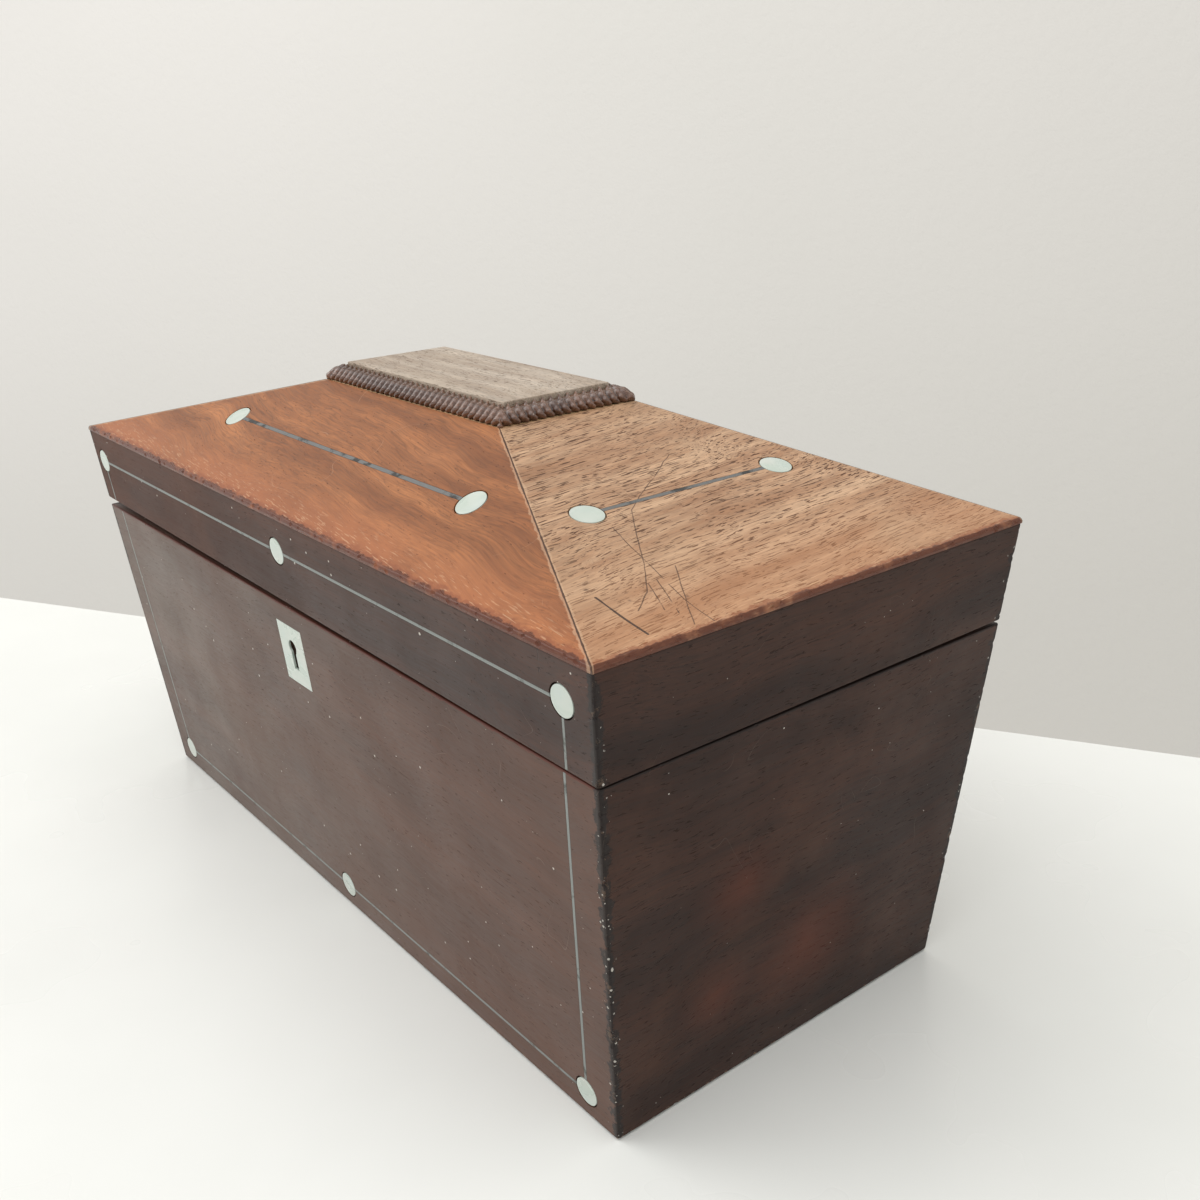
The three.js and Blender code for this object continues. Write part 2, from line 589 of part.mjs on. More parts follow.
function addLidWalls() {
  const leftX = (z) => LID_STRING_INSET_LEFT - halfLengthAt(z);
  const rightX = (z) => halfLengthAt(z) - LID_STRING_INSET_RIGHT;
  const turn = EAVE_HEIGHT - LID_STRING_DROP;
  const discY = upFront(turn);
  const lows = [LIFT_FRONT_LEFT, LIFT_FRONT_RIGHT].map((lift) => RIM_HEIGHT + lift);
  const run = legRun(
    leftX, rightX, lows[0] + STRING_END_MARGIN, lows[1] + STRING_END_MARGIN, turn);
  const discs = [
    [leftX(turn), discY, 'left'],
    [MIDDLE_ROUNDEL_X, discY, 'middle'],
    [rightX(turn), discY, 'right'],
  ];
  const inlayPockets = addInlay(
    lid, 'lid', frontFrame, run, WALL_STRING_WIDTH, discs, WALL_ROUNDEL_DIAMETER);

  const backLow = RIM_HEIGHT + LIFT_BACK;
  const front = overlap(
    longBoard(-1, ...lows.map((low) => wallSection(halfWidthAt, low, EAVE_HEIGHT))), underRoof);
  addPiece(lid, 'lid_front_board', cut(front, addLinkPlate(), ...inlayPockets), 'rosewood');
  const back = overlap(longBoard(1, wallSection(halfWidthAt, backLow, EAVE_HEIGHT)), underRoof);
  addPiece(lid, 'lid_back_board', cut(back, ...hingeMortises(1)), 'rosewood');
  const backEnd = wallSection(halfLengthAt, backLow, EAVE_HEIGHT);
  Object.entries({ left: -1, right: 1 }).forEach(([name, side], index) => {
    const frontEnd = wallSection(halfLengthAt, lows[index], EAVE_HEIGHT);
    const board = overlap(endBoard(side, frontEnd, backEnd), underRoof);
    addPiece(lid, `lid_${name}_board`, board, 'rosewood');
  });
  const ceilingFoot = RIM_HEIGHT + CEILING_RISE;
  addPiece(lid, 'lid_ceiling_board',
    shellBlock(ceilingFoot, ceilingFoot + CEILING_THICKNESS, WALL + GLUE_GAP), 'mahogany');
}

// The eight corners of the front roof board, and of the left one, which the back and right mirror.
function roofCorners(trimX) {
  const eave = [[EAVE_LENGTH / 2, EAVE_WIDTH / 2, EAVE_HEIGHT],
    [halfLengthAt(roofFoot), halfWidthAt(roofFoot), roofFoot]];
  const crown = [[CROWN_LENGTH / 2, CROWN_WIDTH / 2, CROWN_HEIGHT],
    [CROWN_LENGTH / 2, CROWN_WIDTH / 2, crownFoot]];
  return [...eave, ...crown].map(([x, y, z]) => [x - trimX, y, z]);
}

function addRoof() {
  const rise = CROWN_HEIGHT - EAVE_HEIGHT;
  const slopes = {
    front: { across: EAVE_WIDTH - CROWN_WIDTH, reach: FRONT_SLOPE_ROUNDEL_X, out: [0, -1, 0] },
    left: { across: EAVE_LENGTH - CROWN_LENGTH, reach: END_SLOPE_ROUNDEL_Y, out: [-1, 0, 0] },
    right: { across: EAVE_LENGTH - CROWN_LENGTH, reach: END_SLOPE_ROUNDEL_Y, out: [1, 0, 0] },
    back: { across: EAVE_WIDTH - CROWN_WIDTH, reach: 0, out: [0, 1, 0] },
  };
  Object.entries(slopes).forEach(([name, { across, reach, out }]) => {
    const run = across / 2;
    const isLong = out[0] === 0;
    const points = roofCorners(isLong ? MITRE_GAP : 0).flatMap(([x, y, z]) => (isLong
      ? [[-x, out[1] * y, z], [x, out[1] * y, z]]
      : [[out[0] * x, -y, z], [out[0] * x, y, z]]));
    let board = hull(points);
    if (reach > 0) {
      const eave = [out[0] * EAVE_LENGTH / 2, out[1] * EAVE_WIDTH / 2, EAVE_HEIGHT];
      const frame = faceFrame(eave, [-out[1], out[0], 0], [-out[0] * run, -out[1] * run, rise]);
      const y = SLOPE_STRING_PLACE * Math.hypot(run, rise);
      const string = [[-reach, y, 0, 1], [reach, y, 0, 1]];
      const discs = isLong
        ? [[-reach, y, 'left'], [reach, y, 'right']]
        : [[-reach * out[0], y, 'front'], [reach * out[0], y, 'back']];
      board = cut(board, ...addInlay(
        lid, `${name}_slope`, frame, string, ROOF_STRING_WIDTH, discs, ROOF_ROUNDEL_DIAMETER));
    }
    addPiece(lid, `roof_${name}_slope`, board, 'tan');
  });
}

function addCrown() {
  const halfX = CROWN_LENGTH / 2;
  const halfY = CROWN_WIDTH / 2;
  const panelX = halfX - MOULDING_WIDTH - GLUE_GAP;
  const panelY = halfY - MOULDING_WIDTH - GLUE_GAP;
  addPiece(lid, 'crown_board', block(
    [GLUE_GAP - halfX, GLUE_GAP - halfY, crownFoot], [halfX - GLUE_GAP, halfY - GLUE_GAP, CROWN_HEIGHT]),
  'pine');
  addPiece(lid, 'top_panel', block(
    [-panelX, -panelY, CROWN_HEIGHT], [panelX, panelY, CROWN_HEIGHT + TOP_PANEL_HEIGHT]), 'tan');

  // A quarter-round on a fillet: distance out from the panel, and height.
  const arc = new THREE.EllipseCurve(
    0, MOULDING_FILLET, MOULDING_WIDTH, MOULDING_HEIGHT - MOULDING_FILLET, 0, Math.PI / 2);
  const profile = [[0, 0], [MOULDING_WIDTH, 0], ...arc.getPoints(ROUND_SEGMENTS / 4).map((p) => [p.x, p.y])];
  const place = ([out, z], trimX) => [
    halfX - MOULDING_WIDTH + out - trimX, halfY - MOULDING_WIDTH + out, CROWN_HEIGHT + z];
  const sides = { front: [0, -1], back: [0, 1], left: [-1, 0], right: [1, 0] };
  Object.entries(sides).forEach(([name, [outX, outY]]) => {
    const points = profile.flatMap((point) => {
      const [x, y, z] = place(point, outX === 0 ? MITRE_GAP : 0);
      return outX === 0 ? [[-x, outY * y, z], [x, outY * y, z]] : [[outX * x, -y, z], [outX * x, y, z]];
    });
    addPiece(lid, `${name}_moulding`, hull(points), 'rosewood');
  });
}

addBase();
addInterior();
addLidWalls();
addRoof();
addCrown();

export default caddy;
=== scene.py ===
"""A veneered tea caddy with pearl and metal inlay: the looks that ride on the CAD frame.

Metres. +X runs along the front to the right, -Y is the front and +Z is up.
"""
import json
import math
import random

import bmesh
import bpy
from mathutils import Euler, Matrix, Vector

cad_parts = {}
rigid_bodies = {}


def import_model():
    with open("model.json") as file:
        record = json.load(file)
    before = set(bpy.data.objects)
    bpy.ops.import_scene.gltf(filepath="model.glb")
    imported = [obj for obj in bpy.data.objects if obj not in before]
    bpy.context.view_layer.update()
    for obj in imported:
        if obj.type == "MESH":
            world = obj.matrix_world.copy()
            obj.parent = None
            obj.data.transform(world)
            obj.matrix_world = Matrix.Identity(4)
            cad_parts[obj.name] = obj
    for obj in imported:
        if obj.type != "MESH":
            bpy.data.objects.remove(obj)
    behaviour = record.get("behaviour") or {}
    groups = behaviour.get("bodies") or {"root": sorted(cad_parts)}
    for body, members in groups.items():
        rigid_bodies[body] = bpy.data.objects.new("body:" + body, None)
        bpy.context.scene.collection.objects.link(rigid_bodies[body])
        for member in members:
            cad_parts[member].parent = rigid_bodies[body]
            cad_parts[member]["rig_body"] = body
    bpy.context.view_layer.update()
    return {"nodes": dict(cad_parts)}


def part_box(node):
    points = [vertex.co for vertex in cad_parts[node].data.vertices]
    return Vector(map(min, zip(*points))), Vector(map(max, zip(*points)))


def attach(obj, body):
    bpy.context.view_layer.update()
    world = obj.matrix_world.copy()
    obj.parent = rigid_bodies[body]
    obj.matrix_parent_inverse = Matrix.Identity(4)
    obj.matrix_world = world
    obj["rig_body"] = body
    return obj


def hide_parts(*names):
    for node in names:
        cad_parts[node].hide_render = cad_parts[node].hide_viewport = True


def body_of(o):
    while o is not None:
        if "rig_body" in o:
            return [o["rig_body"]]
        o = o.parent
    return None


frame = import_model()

MM = 0.001
FINE = 0.01 * MM  # what lies closer than this counts as level
ENDS = ("left", "right")
NODES = frame["nodes"]

# ---------- Places taken from the frame ----------


def reach(node, z):
    """Half the length and half the width of a node at one height, and that height."""
    points = [v.co for v in NODES[node].data.vertices if abs(v.co.z - z) < FINE]
    return max(abs(p.x) for p in points), max(abs(p.y) for p in points), z


FOOT = reach("base_front_board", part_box("base_front_board")[0].z)
RIM = reach("base_front_board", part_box("base_front_board")[1].z)
EAVE_Z = max(v.co.z for v in NODES["roof_right_slope"].data.vertices
             if v.co.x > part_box("roof_right_slope")[1].x - FINE)
CROWN_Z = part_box("top_panel")[0].z
CROWN = (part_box("right_moulding")[1].x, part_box("back_moulding")[1].y, CROWN_Z)
WALL = RIM[1] - max(abs(v.co.y) for v in NODES["base_left_board"].data.vertices)
LEAN_X = (RIM[0] - FOOT[0]) / (RIM[2] - FOOT[2])
LEAN_Y = (RIM[1] - FOOT[1]) / (RIM[2] - FOOT[2])


def shell_at(z):
    """Half the length and half the width of the leaning shell at one height, and that height."""
    return FOOT[0] + LEAN_X * (z - FOOT[2]), FOOT[1] + LEAN_Y * (z - FOOT[2]), z


EAVE = shell_at(EAVE_Z)


# ---------- Camera ----------

CAMERA_PLACE = Vector((344.6, -220.5, 244.9)) * MM
CAMERA_AZIMUTH = math.radians(52.06)
CAMERA_ELEVATION = math.radians(20.79)
CAMERA_ROLL = math.radians(-1.89)
CAMERA_LENS = 39.14


def add_camera():
    data = bpy.data.cameras.new("camera")
    data.lens = CAMERA_LENS
    data.sensor_width = 36
    data.clip_start = 0.01
    camera = bpy.data.objects.new("camera", data)
    bpy.context.scene.collection.objects.link(camera)
    level = Vector((
        math.sin(CAMERA_AZIMUTH) * math.cos(CAMERA_ELEVATION),
        -math.cos(CAMERA_AZIMUTH) * math.cos(CAMERA_ELEVATION),
        math.sin(CAMERA_ELEVATION)))
    camera.location = CAMERA_PLACE
    camera.rotation_mode = "QUATERNION"
    aim = (-level).to_track_quat("-Z", "Y")
    camera.rotation_quaternion = aim @ Euler((0, 0, CAMERA_ROLL)).to_quaternion()
    bpy.context.scene.camera = camera


add_camera()

# ---------- Bench tools: selecting, shaping and finishing ----------


def clear_selection():
    for item in list(bpy.context.selected_objects):
        item.select_set(False)


def select_only(piece):
    clear_selection()
    piece.select_set(True)
    bpy.context.view_layer.objects.active = piece


def named(piece, name):
    piece.name = name
    piece.data.name = name
    return piece


def cube(name, low, high):
    """A box between two opposite corners."""
    low, high = Vector(low), Vector(high)
    clear_selection()
    bpy.ops.mesh.primitive_cube_add(size=1, location=(low + high) / 2)
    bpy.context.object.scale = high - low
    bpy.ops.object.transform_apply(location=True, rotation=True, scale=True)
    return named(bpy.context.object, name)


def cylinder(name, radius, depth, segments):
    """A cylinder that stands on the origin."""
    clear_selection()
    bpy.ops.mesh.primitive_cylinder_add(
        vertices=segments, radius=radius, depth=depth, location=(0, 0, depth / 2))
    bpy.ops.object.transform_apply(location=True)
    return named(bpy.context.object, name)


def edit(piece):
    select_only(piece)
    bpy.ops.object.mode_set(mode="EDIT")


def leave():
    bpy.ops.object.mode_set(mode="OBJECT")


def pick(piece, kind, test):
    """In edit mode, selects the faces, edges or vertices that pass a test, and nothing else."""
    bpy.ops.mesh.select_mode(type=kind)
    bpy.ops.mesh.select_all(action="DESELECT")
    mesh = bmesh.from_edit_mesh(piece.data)
    for item in {"VERT": mesh.verts, "EDGE": mesh.edges, "FACE": mesh.faces}[kind]:
        if test(item):
            item.select_set(True)
    mesh.select_flush_mode()
    bmesh.update_edit_mesh(piece.data)


def at_height(z):
    """A test that passes items which lie level at a height."""
    def test(item):
        corners = [item] if isinstance(item, bmesh.types.BMVert) else item.verts
        return all(abs(v.co.z - z) < FINE for v in corners)
    return test


def resize_about(factor, centre):
    bpy.ops.transform.resize(value=factor, center_override=centre)


def duplicate(piece, name):
    copy = bpy.data.objects.new(name, piece.data.copy())
    copy.data.name = name
    bpy.context.scene.collection.objects.link(copy)
    return copy


def discard(*pieces):
    for piece in pieces:
        bpy.data.objects.remove(piece)


def apply_modifier(piece, kind, **settings):
    modifier = piece.modifiers.new(kind.lower(), kind)
    for key, value in settings.items():
        setattr(modifier, key, value)
    select_only(piece)
    bpy.ops.object.modifier_apply(modifier=modifier.name)


def merged_copy(node, name, growth=0.0, whole_faces=True):
    """A merged copy of a CAD node's mesh, grown on every side."""
    copy = duplicate(NODES[node], name)
    select_only(copy)
    bpy.ops.mesh.customdata_custom_splitnormals_clear()
    edit(copy)
    bpy.ops.mesh.select_all(action="SELECT")
    bpy.ops.mesh.remove_doubles(threshold=0.001 * MM)
    if whole_faces:
        bpy.ops.mesh.dissolve_limited(angle_limit=math.radians(0.5))
    leave()
    if growth:
        apply_modifier(copy, "DISPLACE", strength=growth, mid_level=0)
    return copy


def carve(piece, *cutters, operation="DIFFERENCE"):
    for cutter in cutters:
        apply_modifier(piece, "BOOLEAN", object=cutter, operation=operation, solver="MANIFOLD")


def smooth(piece, degrees=35):
    """Smooth shading on rounded edges that leaves the flat faces looking flat."""
    select_only(piece)
    bpy.ops.object.shade_smooth_by_angle(angle=math.radians(degrees))
    apply_modifier(piece, "WEIGHTED_NORMAL", keep_sharp=True, weight=80)


def tidy(piece):
    """Merges doubles and turns every face outwards."""
    edit(piece)
    bpy.ops.mesh.select_all(action="SELECT")
    bpy.ops.mesh.remove_doubles(threshold=0.002 * MM)
    bpy.ops.mesh.normals_make_consistent(inside=False)
    leave()


def give_material(piece, material):
    piece.data.materials.clear()
    piece.data.materials.append(material)


def hand_over(piece, body, replaced, material):
    """Gives a finished piece its body and its material, and hides the nodes that it stands in for."""
    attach(piece, body)
    if replaced:
        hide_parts(*replaced)
    give_material(piece, material)


# ---------- Node tools ----------


def add_node(tree, kind, inputs=None, **settings):
    made = tree.nodes.new(kind)
    for key, value in settings.items():
        setattr(made, key, value)
    for key, value in (inputs or {}).items():
        if isinstance(value, bpy.types.NodeSocket):
            tree.links.new(value, made.inputs[key])
        else:
            made.inputs[key].default_value = value
    return made


def calculate(tree, operation, first, second=0.0, clamp=False):
    return add_node(tree, "ShaderNodeMath", {0: first, 1: second},
                    operation=operation, use_clamp=clamp).outputs[0]


def times(tree, first, second):
    return calculate(tree, "MULTIPLY", first, second)


def plus(tree, first, second):
    return calculate(tree, "ADD", first, second)


def minus(tree, first, second):
    return calculate(tree, "SUBTRACT", first, second)


def absolute(tree, value):
    return calculate(tree, "ABSOLUTE", value)


def between(tree, value, low, high, start=0.0, end=1.0, smooth_step=True):
    """Value mapped from low..high to start..end, and held there."""
    return add_node(
        tree, "ShaderNodeMapRange",
        {"Value": value, "From Min": low, "From Max": high, "To Min": start, "To Max": end},
        interpolation_type="SMOOTHSTEP" if smooth_step else "LINEAR").outputs[0]


def blend_colors(tree, factor, first, second, blend="MIX"):
    made = add_node(tree, "ShaderNodeMix", {"Factor": factor}, data_type="RGBA", blend_type=blend)
    for index, value in ((6, first), (7, second)):
        if isinstance(value, bpy.types.NodeSocket):
            tree.links.new(value, made.inputs[index])
        else:
            made.inputs[index].default_value = (*value, 1)
    return made.outputs[2]


def stretched(tree, vector, scale):
    return add_node(tree, "ShaderNodeVectorMath", {0: vector, 1: scale}, operation="MULTIPLY").outputs[0]


def noise(tree, vector, scale=1.0, detail=3.0, roughness=0.5, distortion=0.0):
    return add_node(tree, "ShaderNodeTexNoise", {
        "Vector": vector, "Scale": scale, "Detail": detail, "Roughness": roughness,
        "Distortion": distortion}).outputs["Fac"]


def start_group(name, values, masks, vectors=("Vector",)):
    """A shader node group that takes vectors and values. Returns it with its input and output nodes."""
    tree = bpy.data.node_groups.new(name, "ShaderNodeTree")
    for label in vectors:
        tree.interface.new_socket(label, in_out="INPUT", socket_type="NodeSocketVector")
    for label, default in values.items():
        socket = tree.interface.new_socket(label, in_out="INPUT", socket_type="NodeSocketFloat")
        socket.default_value = default
    for label in masks:
        tree.interface.new_socket(label, in_out="OUTPUT", socket_type="NodeSocketFloat")
    return tree, tree.nodes.new("NodeGroupInput"), tree.nodes.new("NodeGroupOutput")


def use_group(tree, group, inputs):
    return add_node(tree, "ShaderNodeGroup", inputs, node_tree=group)


# ---------- Shared effects ----------

PORE_FINENESS = 2500.0  # across the grain, to the metre


def timber_group():
    """Wood with its grain along X: broad figure, fine fibre, and short dark pores."""
    tree, given, result = start_group(
        "timber", {"Figure Width": 12 * MM, "Pore Cover": 0.5, "Pore Length": 3 * MM},
        ("Figure", "Rings", "Fibre", "Pores"))
    vector = given.outputs["Vector"]
    wander = noise(tree, vector, 14, 2)
    sway = times(tree, minus(tree, wander, 0.5), 0.016)
    offset = add_node(tree, "ShaderNodeCombineXYZ", {"X": 0.0, "Y": sway, "Z": sway}).outputs[0]
    swayed = add_node(tree, "ShaderNodeVectorMath", {0: vector, 1: offset}, operation="ADD").outputs[0]
    thin = calculate(tree, "DIVIDE", 1.0, given.outputs["Figure Width"])
    long = calculate(tree, "DIVIDE", thin, 18.0)
    figure_scale = add_node(tree, "ShaderNodeCombineXYZ", {"X": long, "Y": thin, "Z": thin}).outputs[0]
    broad = noise(tree, stretched(tree, swayed, figure_scale), 1, 4, 0.6, 0.15)
    tree.links.new(between(tree, broad, 0.3, 0.7), result.inputs["Figure"])
    step = calculate(tree, "FRACT", times(tree, broad, 17.0), 0)
    off_line = absolute(tree, minus(tree, step, 0.5))
    tree.links.new(between(tree, off_line, 0.2, 0.0), result.inputs["Rings"])
    fibre = noise(tree, stretched(tree, swayed, (55, 1900, 1900)), 1, 4, 0.6)
    tree.links.new(between(tree, fibre, 0.25, 0.75), result.inputs["Fibre"])
    along = calculate(tree, "DIVIDE", 1.0, given.outputs["Pore Length"])
    pore_scale = add_node(tree, "ShaderNodeCombineXYZ", {
        "X": along, "Y": PORE_FINENESS, "Z": PORE_FINENESS}).outputs[0]
    dash = noise(tree, stretched(tree, swayed, pore_scale), 1, 1.5, 0.45)
    patch = noise(tree, stretched(tree, vector, (18, 60, 60)), 1, 2)
    cover = plus(tree, times(tree, given.outputs["Pore Cover"], 0.14), times(tree, patch, 0.1))
    edge = minus(tree, 0.8, cover)
    pores = between(tree, minus(tree, dash, edge), 0.0, 0.035)
    tree.links.new(pores, result.inputs["Pores"])
    return tree


def hairlines_group():
    """Fine wandering scratches, in patches."""
    tree, given, result = start_group("hairlines", {"Scale": 30.0, "Cover": 0.5}, ["Mask"])
    field = add_node(tree, "ShaderNodeTexNoise", {
        "Vector": given.outputs["Vector"], "Scale": given.outputs["Scale"], "Detail": 1.0,
        "Distortion": 0.6}).outputs["Fac"]
    level = absolute(tree, minus(tree, field, 0.5))
    line = between(tree, level, 0.0016, 0.0002)
    where = noise(tree, given.outputs["Vector"], 60, 2)
    limit = minus(tree, 1.0, given.outputs["Cover"])
    kept = between(tree, minus(tree, where, limit), 0.0, 0.08)
    tree.links.new(times(tree, line, kept), result.inputs["Mask"])
    return tree


def specks_group():
    """Scattered small flecks of dust and filler."""
    tree, given, result = start_group("specks", {"Spacing": 6 * MM, "Size": 0.1, "Share": 0.3}, ["Mask"])
    scale = calculate(tree, "DIVIDE", 1.0, given.outputs["Spacing"])
    cells = add_node(tree, "ShaderNodeTexVoronoi", {
        "Vector": given.outputs["Vector"], "Scale": scale, "Randomness": 1.0})
    chance = add_node(tree, "ShaderNodeSeparateColor", {"Color": cells.outputs["Color"]})
    size = times(tree, given.outputs["Size"], chance.outputs[1])
    ragged = noise(tree, given.outputs["Vector"], 2500, 2)
    limit = times(tree, size, plus(tree, ragged, 0.5))
    dot = calculate(tree, "LESS_THAN", cells.outputs["Distance"], limit)
    kept = calculate(tree, "LESS_THAN", chance.outputs[0], given.outputs["Share"])
    tree.links.new(times(tree, dot, kept), result.inputs["Mask"])
    return tree


def shell_group():
    """Distances on the leaning shell: to the corner edges, the eaves, the joint and the foot."""
    tree, given, result = start_group(
        "shell distances", {},
        ("Along Front", "Along End", "Below Eaves", "From Joint", "Above Foot"))
    place = add_node(tree, "ShaderNodeSeparateXYZ", {"Vector": given.outputs["Vector"]})
    for axis, foot, lean, label in (("X", FOOT[0], LEAN_X, "Along Front"),
                                    ("Y", FOOT[1], LEAN_Y, "Along End")):
        half = add_node(tree, "ShaderNodeMath", {0: place.outputs["Z"], 1: lean, 2: foot},
                        operation="MULTIPLY_ADD").outputs[0]
        inwards = absolute(tree, place.outputs[axis])
        tree.links.new(minus(tree, half, inwards), result.inputs[label])
    below = minus(tree, EAVE_Z, place.outputs["Z"])
    tree.links.new(below, result.inputs["Below Eaves"])
    joint = absolute(tree, minus(tree, place.outputs["Z"], RIM[2]))
    tree.links.new(joint, result.inputs["From Joint"])
    tree.links.new(place.outputs["Z"], result.inputs["Above Foot"])
    return tree


def edge_band_group():
    """A ragged band along an edge: 1 at the edge, and 0 past the given width."""
    tree, given, result = start_group(
        "edge band", {"Distance": 0.0, "Width": MM, "Raggedness": 0.5}, ["Mask"])
    coarse = noise(tree, given.outputs["Vector"], 260, 4, 0.7)
    shift = times(tree, minus(tree, coarse, 0.5), times(tree, given.outputs["Raggedness"], 4.0))
    reach_to = times(tree, given.outputs["Width"], plus(tree, 1.0, shift))
    gap = minus(tree, reach_to, given.outputs["Distance"])
    soft = times(tree, given.outputs["Width"], 0.35)
    tree.links.new(between(tree, gap, 0.0, soft), result.inputs["Mask"])
    return tree


def scratch_group():
    """One straight scratch between two points."""
    tree, given, result = start_group(
        "scratch", {"Width": 0.2 * MM}, ["Mask"], ("Vector", "Start", "End"))

    def vector_math(operation, inputs, output=0):
        return add_node(tree, "ShaderNodeVectorMath", inputs, operation=operation).outputs[output]

    shaky = add_node(tree, "ShaderNodeTexNoise", {
        "Vector": given.outputs["Vector"], "Scale": 120.0, "Detail": 1.0}).outputs["Color"]
    centred = vector_math("SUBTRACT", {0: shaky, 1: (0.5, 0.5, 0.5)})
    shift = vector_math("SCALE", {0: centred, "Scale": 0.9 * MM})
    place = vector_math("ADD", {0: given.outputs["Vector"], 1: shift})
    from_start = vector_math("SUBTRACT", {0: place, 1: given.outputs["Start"]})
    run = vector_math("SUBTRACT", {0: given.outputs["End"], 1: given.outputs["Start"]})
    share = calculate(tree, "DIVIDE", vector_math("DOT_PRODUCT", {0: from_start, 1: run}, "Value"),
                      vector_math("DOT_PRODUCT", {0: run, 1: run}, "Value"), clamp=True)
    nearest = vector_math("SCALE", {0: run, "Scale": share})
    away = vector_math("LENGTH", {0: vector_math("SUBTRACT", {0: from_start, 1: nearest})}, "Value")
    half = times(tree, given.outputs["Width"], 0.5)
    tree.links.new(between(tree, minus(tree, half, away), 0.0, 0.06 * MM), result.inputs["Mask"])
    return tree


# ---------- Leaning walls ----------

CORNER_ROUND = 0.9 * MM
RIM_ROUND = 0.45 * MM
ROOF_EDGE = 1.4 * MM  # thickness of the roof veneer and its ground at the eaves


def leaning_shell(name, foot, rim, wall):
    """An open four-sided shell that leans out from foot to rim, with rounded corners."""
    def is_outer_corner(edge):
        start, end = (v.co for v in edge.verts)
        return (abs(start.z - end.z) > MM and abs(start.x + end.x) > foot[0] + rim[0] - wall)

    shell = cube(name, (-foot[0], -foot[1], foot[2]), (foot[0], foot[1], rim[2]))
    edit(shell)
    pick(shell, "FACE", at_height(rim[2]))
    resize_about((rim[0] / foot[0], rim[1] / foot[1], 1), (0, 0, rim[2]))
    for z in (foot[2], rim[2]):
        pick(shell, "FACE", at_height(z))
        bpy.ops.mesh.inset(thickness=wall)
        pick(shell, "FACE", lambda f, z=z: at_height(z)(f) and f.calc_area() > foot[0] * foot[1])
        bpy.ops.mesh.delete(type="ONLY_FACE")
    pick(shell, "EDGE", lambda e: e.is_boundary)
    bpy.ops.mesh.bridge_edge_loops()
    pick(shell, "EDGE", is_outer_corner)
    bpy.ops.mesh.bevel(offset=CORNER_ROUND, segments=3, affect="EDGES")
    leave()
    tidy(shell)
    return shell


# Chips, in mm: the size of the lump that knocks one out, how deep it bites and how far it is drawn out.
CHIP_SIZE = (0.45, 1.25)
CHIP_DEPTH = (0.12, 0.34)
CHIP_STRETCH = (1.0, 2.2)


def chip(shell, runs, seed):
    """Knocks small chips out of a shell along straight runs, each with how many it gets."""
    chance = random.Random(seed)
    lumps = []
    for start, end, count in runs:
        start, end = Vector(start), Vector(end)
        for index in range(count):
            share = (index + 0.15 + 0.7 * chance.random()) / count
            size = chance.uniform(*CHIP_SIZE) * MM
            clear_selection()
            bpy.ops.mesh.primitive_ico_sphere_add(subdivisions=2, radius=size)
            lump = bpy.context.object
            long = chance.uniform(*CHIP_STRETCH)
            out = Vector((start.x * 0.5 + end.x * 0.5, start.y * 0.5 + end.y * 0.5, 0))
            along = (end - start).normalized()
            out = (out - along * out.dot(along)).normalized()
            stand = along.to_track_quat("X", "Z").to_matrix().to_4x4()
            bite = size - chance.uniform(*CHIP_DEPTH) * MM
            place = start.lerp(end, share) + out * bite
            turn = Euler([chance.uniform(0, 0.6) for axis in range(3)]).to_matrix().to_4x4()
            lump.data.transform(Matrix.Translation(place) @ stand @ turn @ Matrix.Diagonal((long, 1, 1, 1)))
            lumps.append(lump)
    select_only(lumps[0])
    for lump in lumps:
        lump.select_set(True)
    bpy.ops.object.join()
    carve(shell, lumps[0])
    discard(lumps[0])


def corner_runs(foot, rim, count):
    inset = CORNER_ROUND * 0.3
    return [((x * (foot[0] - inset), y * (foot[1] - inset), foot[2]),
             (x * (rim[0] - inset), y * (rim[1] - inset), rim[2]), count)
            for x in (-1, 1) for y in (-1, 1)]


def level_runs(ring, long_count, short_count):
    length, width, z = ring
    return ([((-length, y * width, z), (length, y * width, z), long_count) for y in (-1, 1)]
            + [((x * length, -width, z), (x * length, width, z), short_count) for x in (-1, 1)])


def round_rims(shell):
    """Rounds the outer edges at the top and bottom of a shell."""
    def is_outer_rim(edge):
        if len(edge.link_faces) != 2:
            return False
        normals = [f.normal for f in edge.link_faces]
        flat = [abs(n.z) > 0.9 for n in normals]
        if flat[0] == flat[1]:
            return False
        side = normals[1] if flat[0] else normals[0]
        middle = (edge.verts[0].co + edge.verts[1].co) / 2
        return side.x * middle.x + side.y * middle.y > 0
    edit(shell)
    pick(shell, "EDGE", is_outer_rim)
    bpy.ops.mesh.bevel(offset=RIM_ROUND, segments=2, affect="EDGES")
    leave()


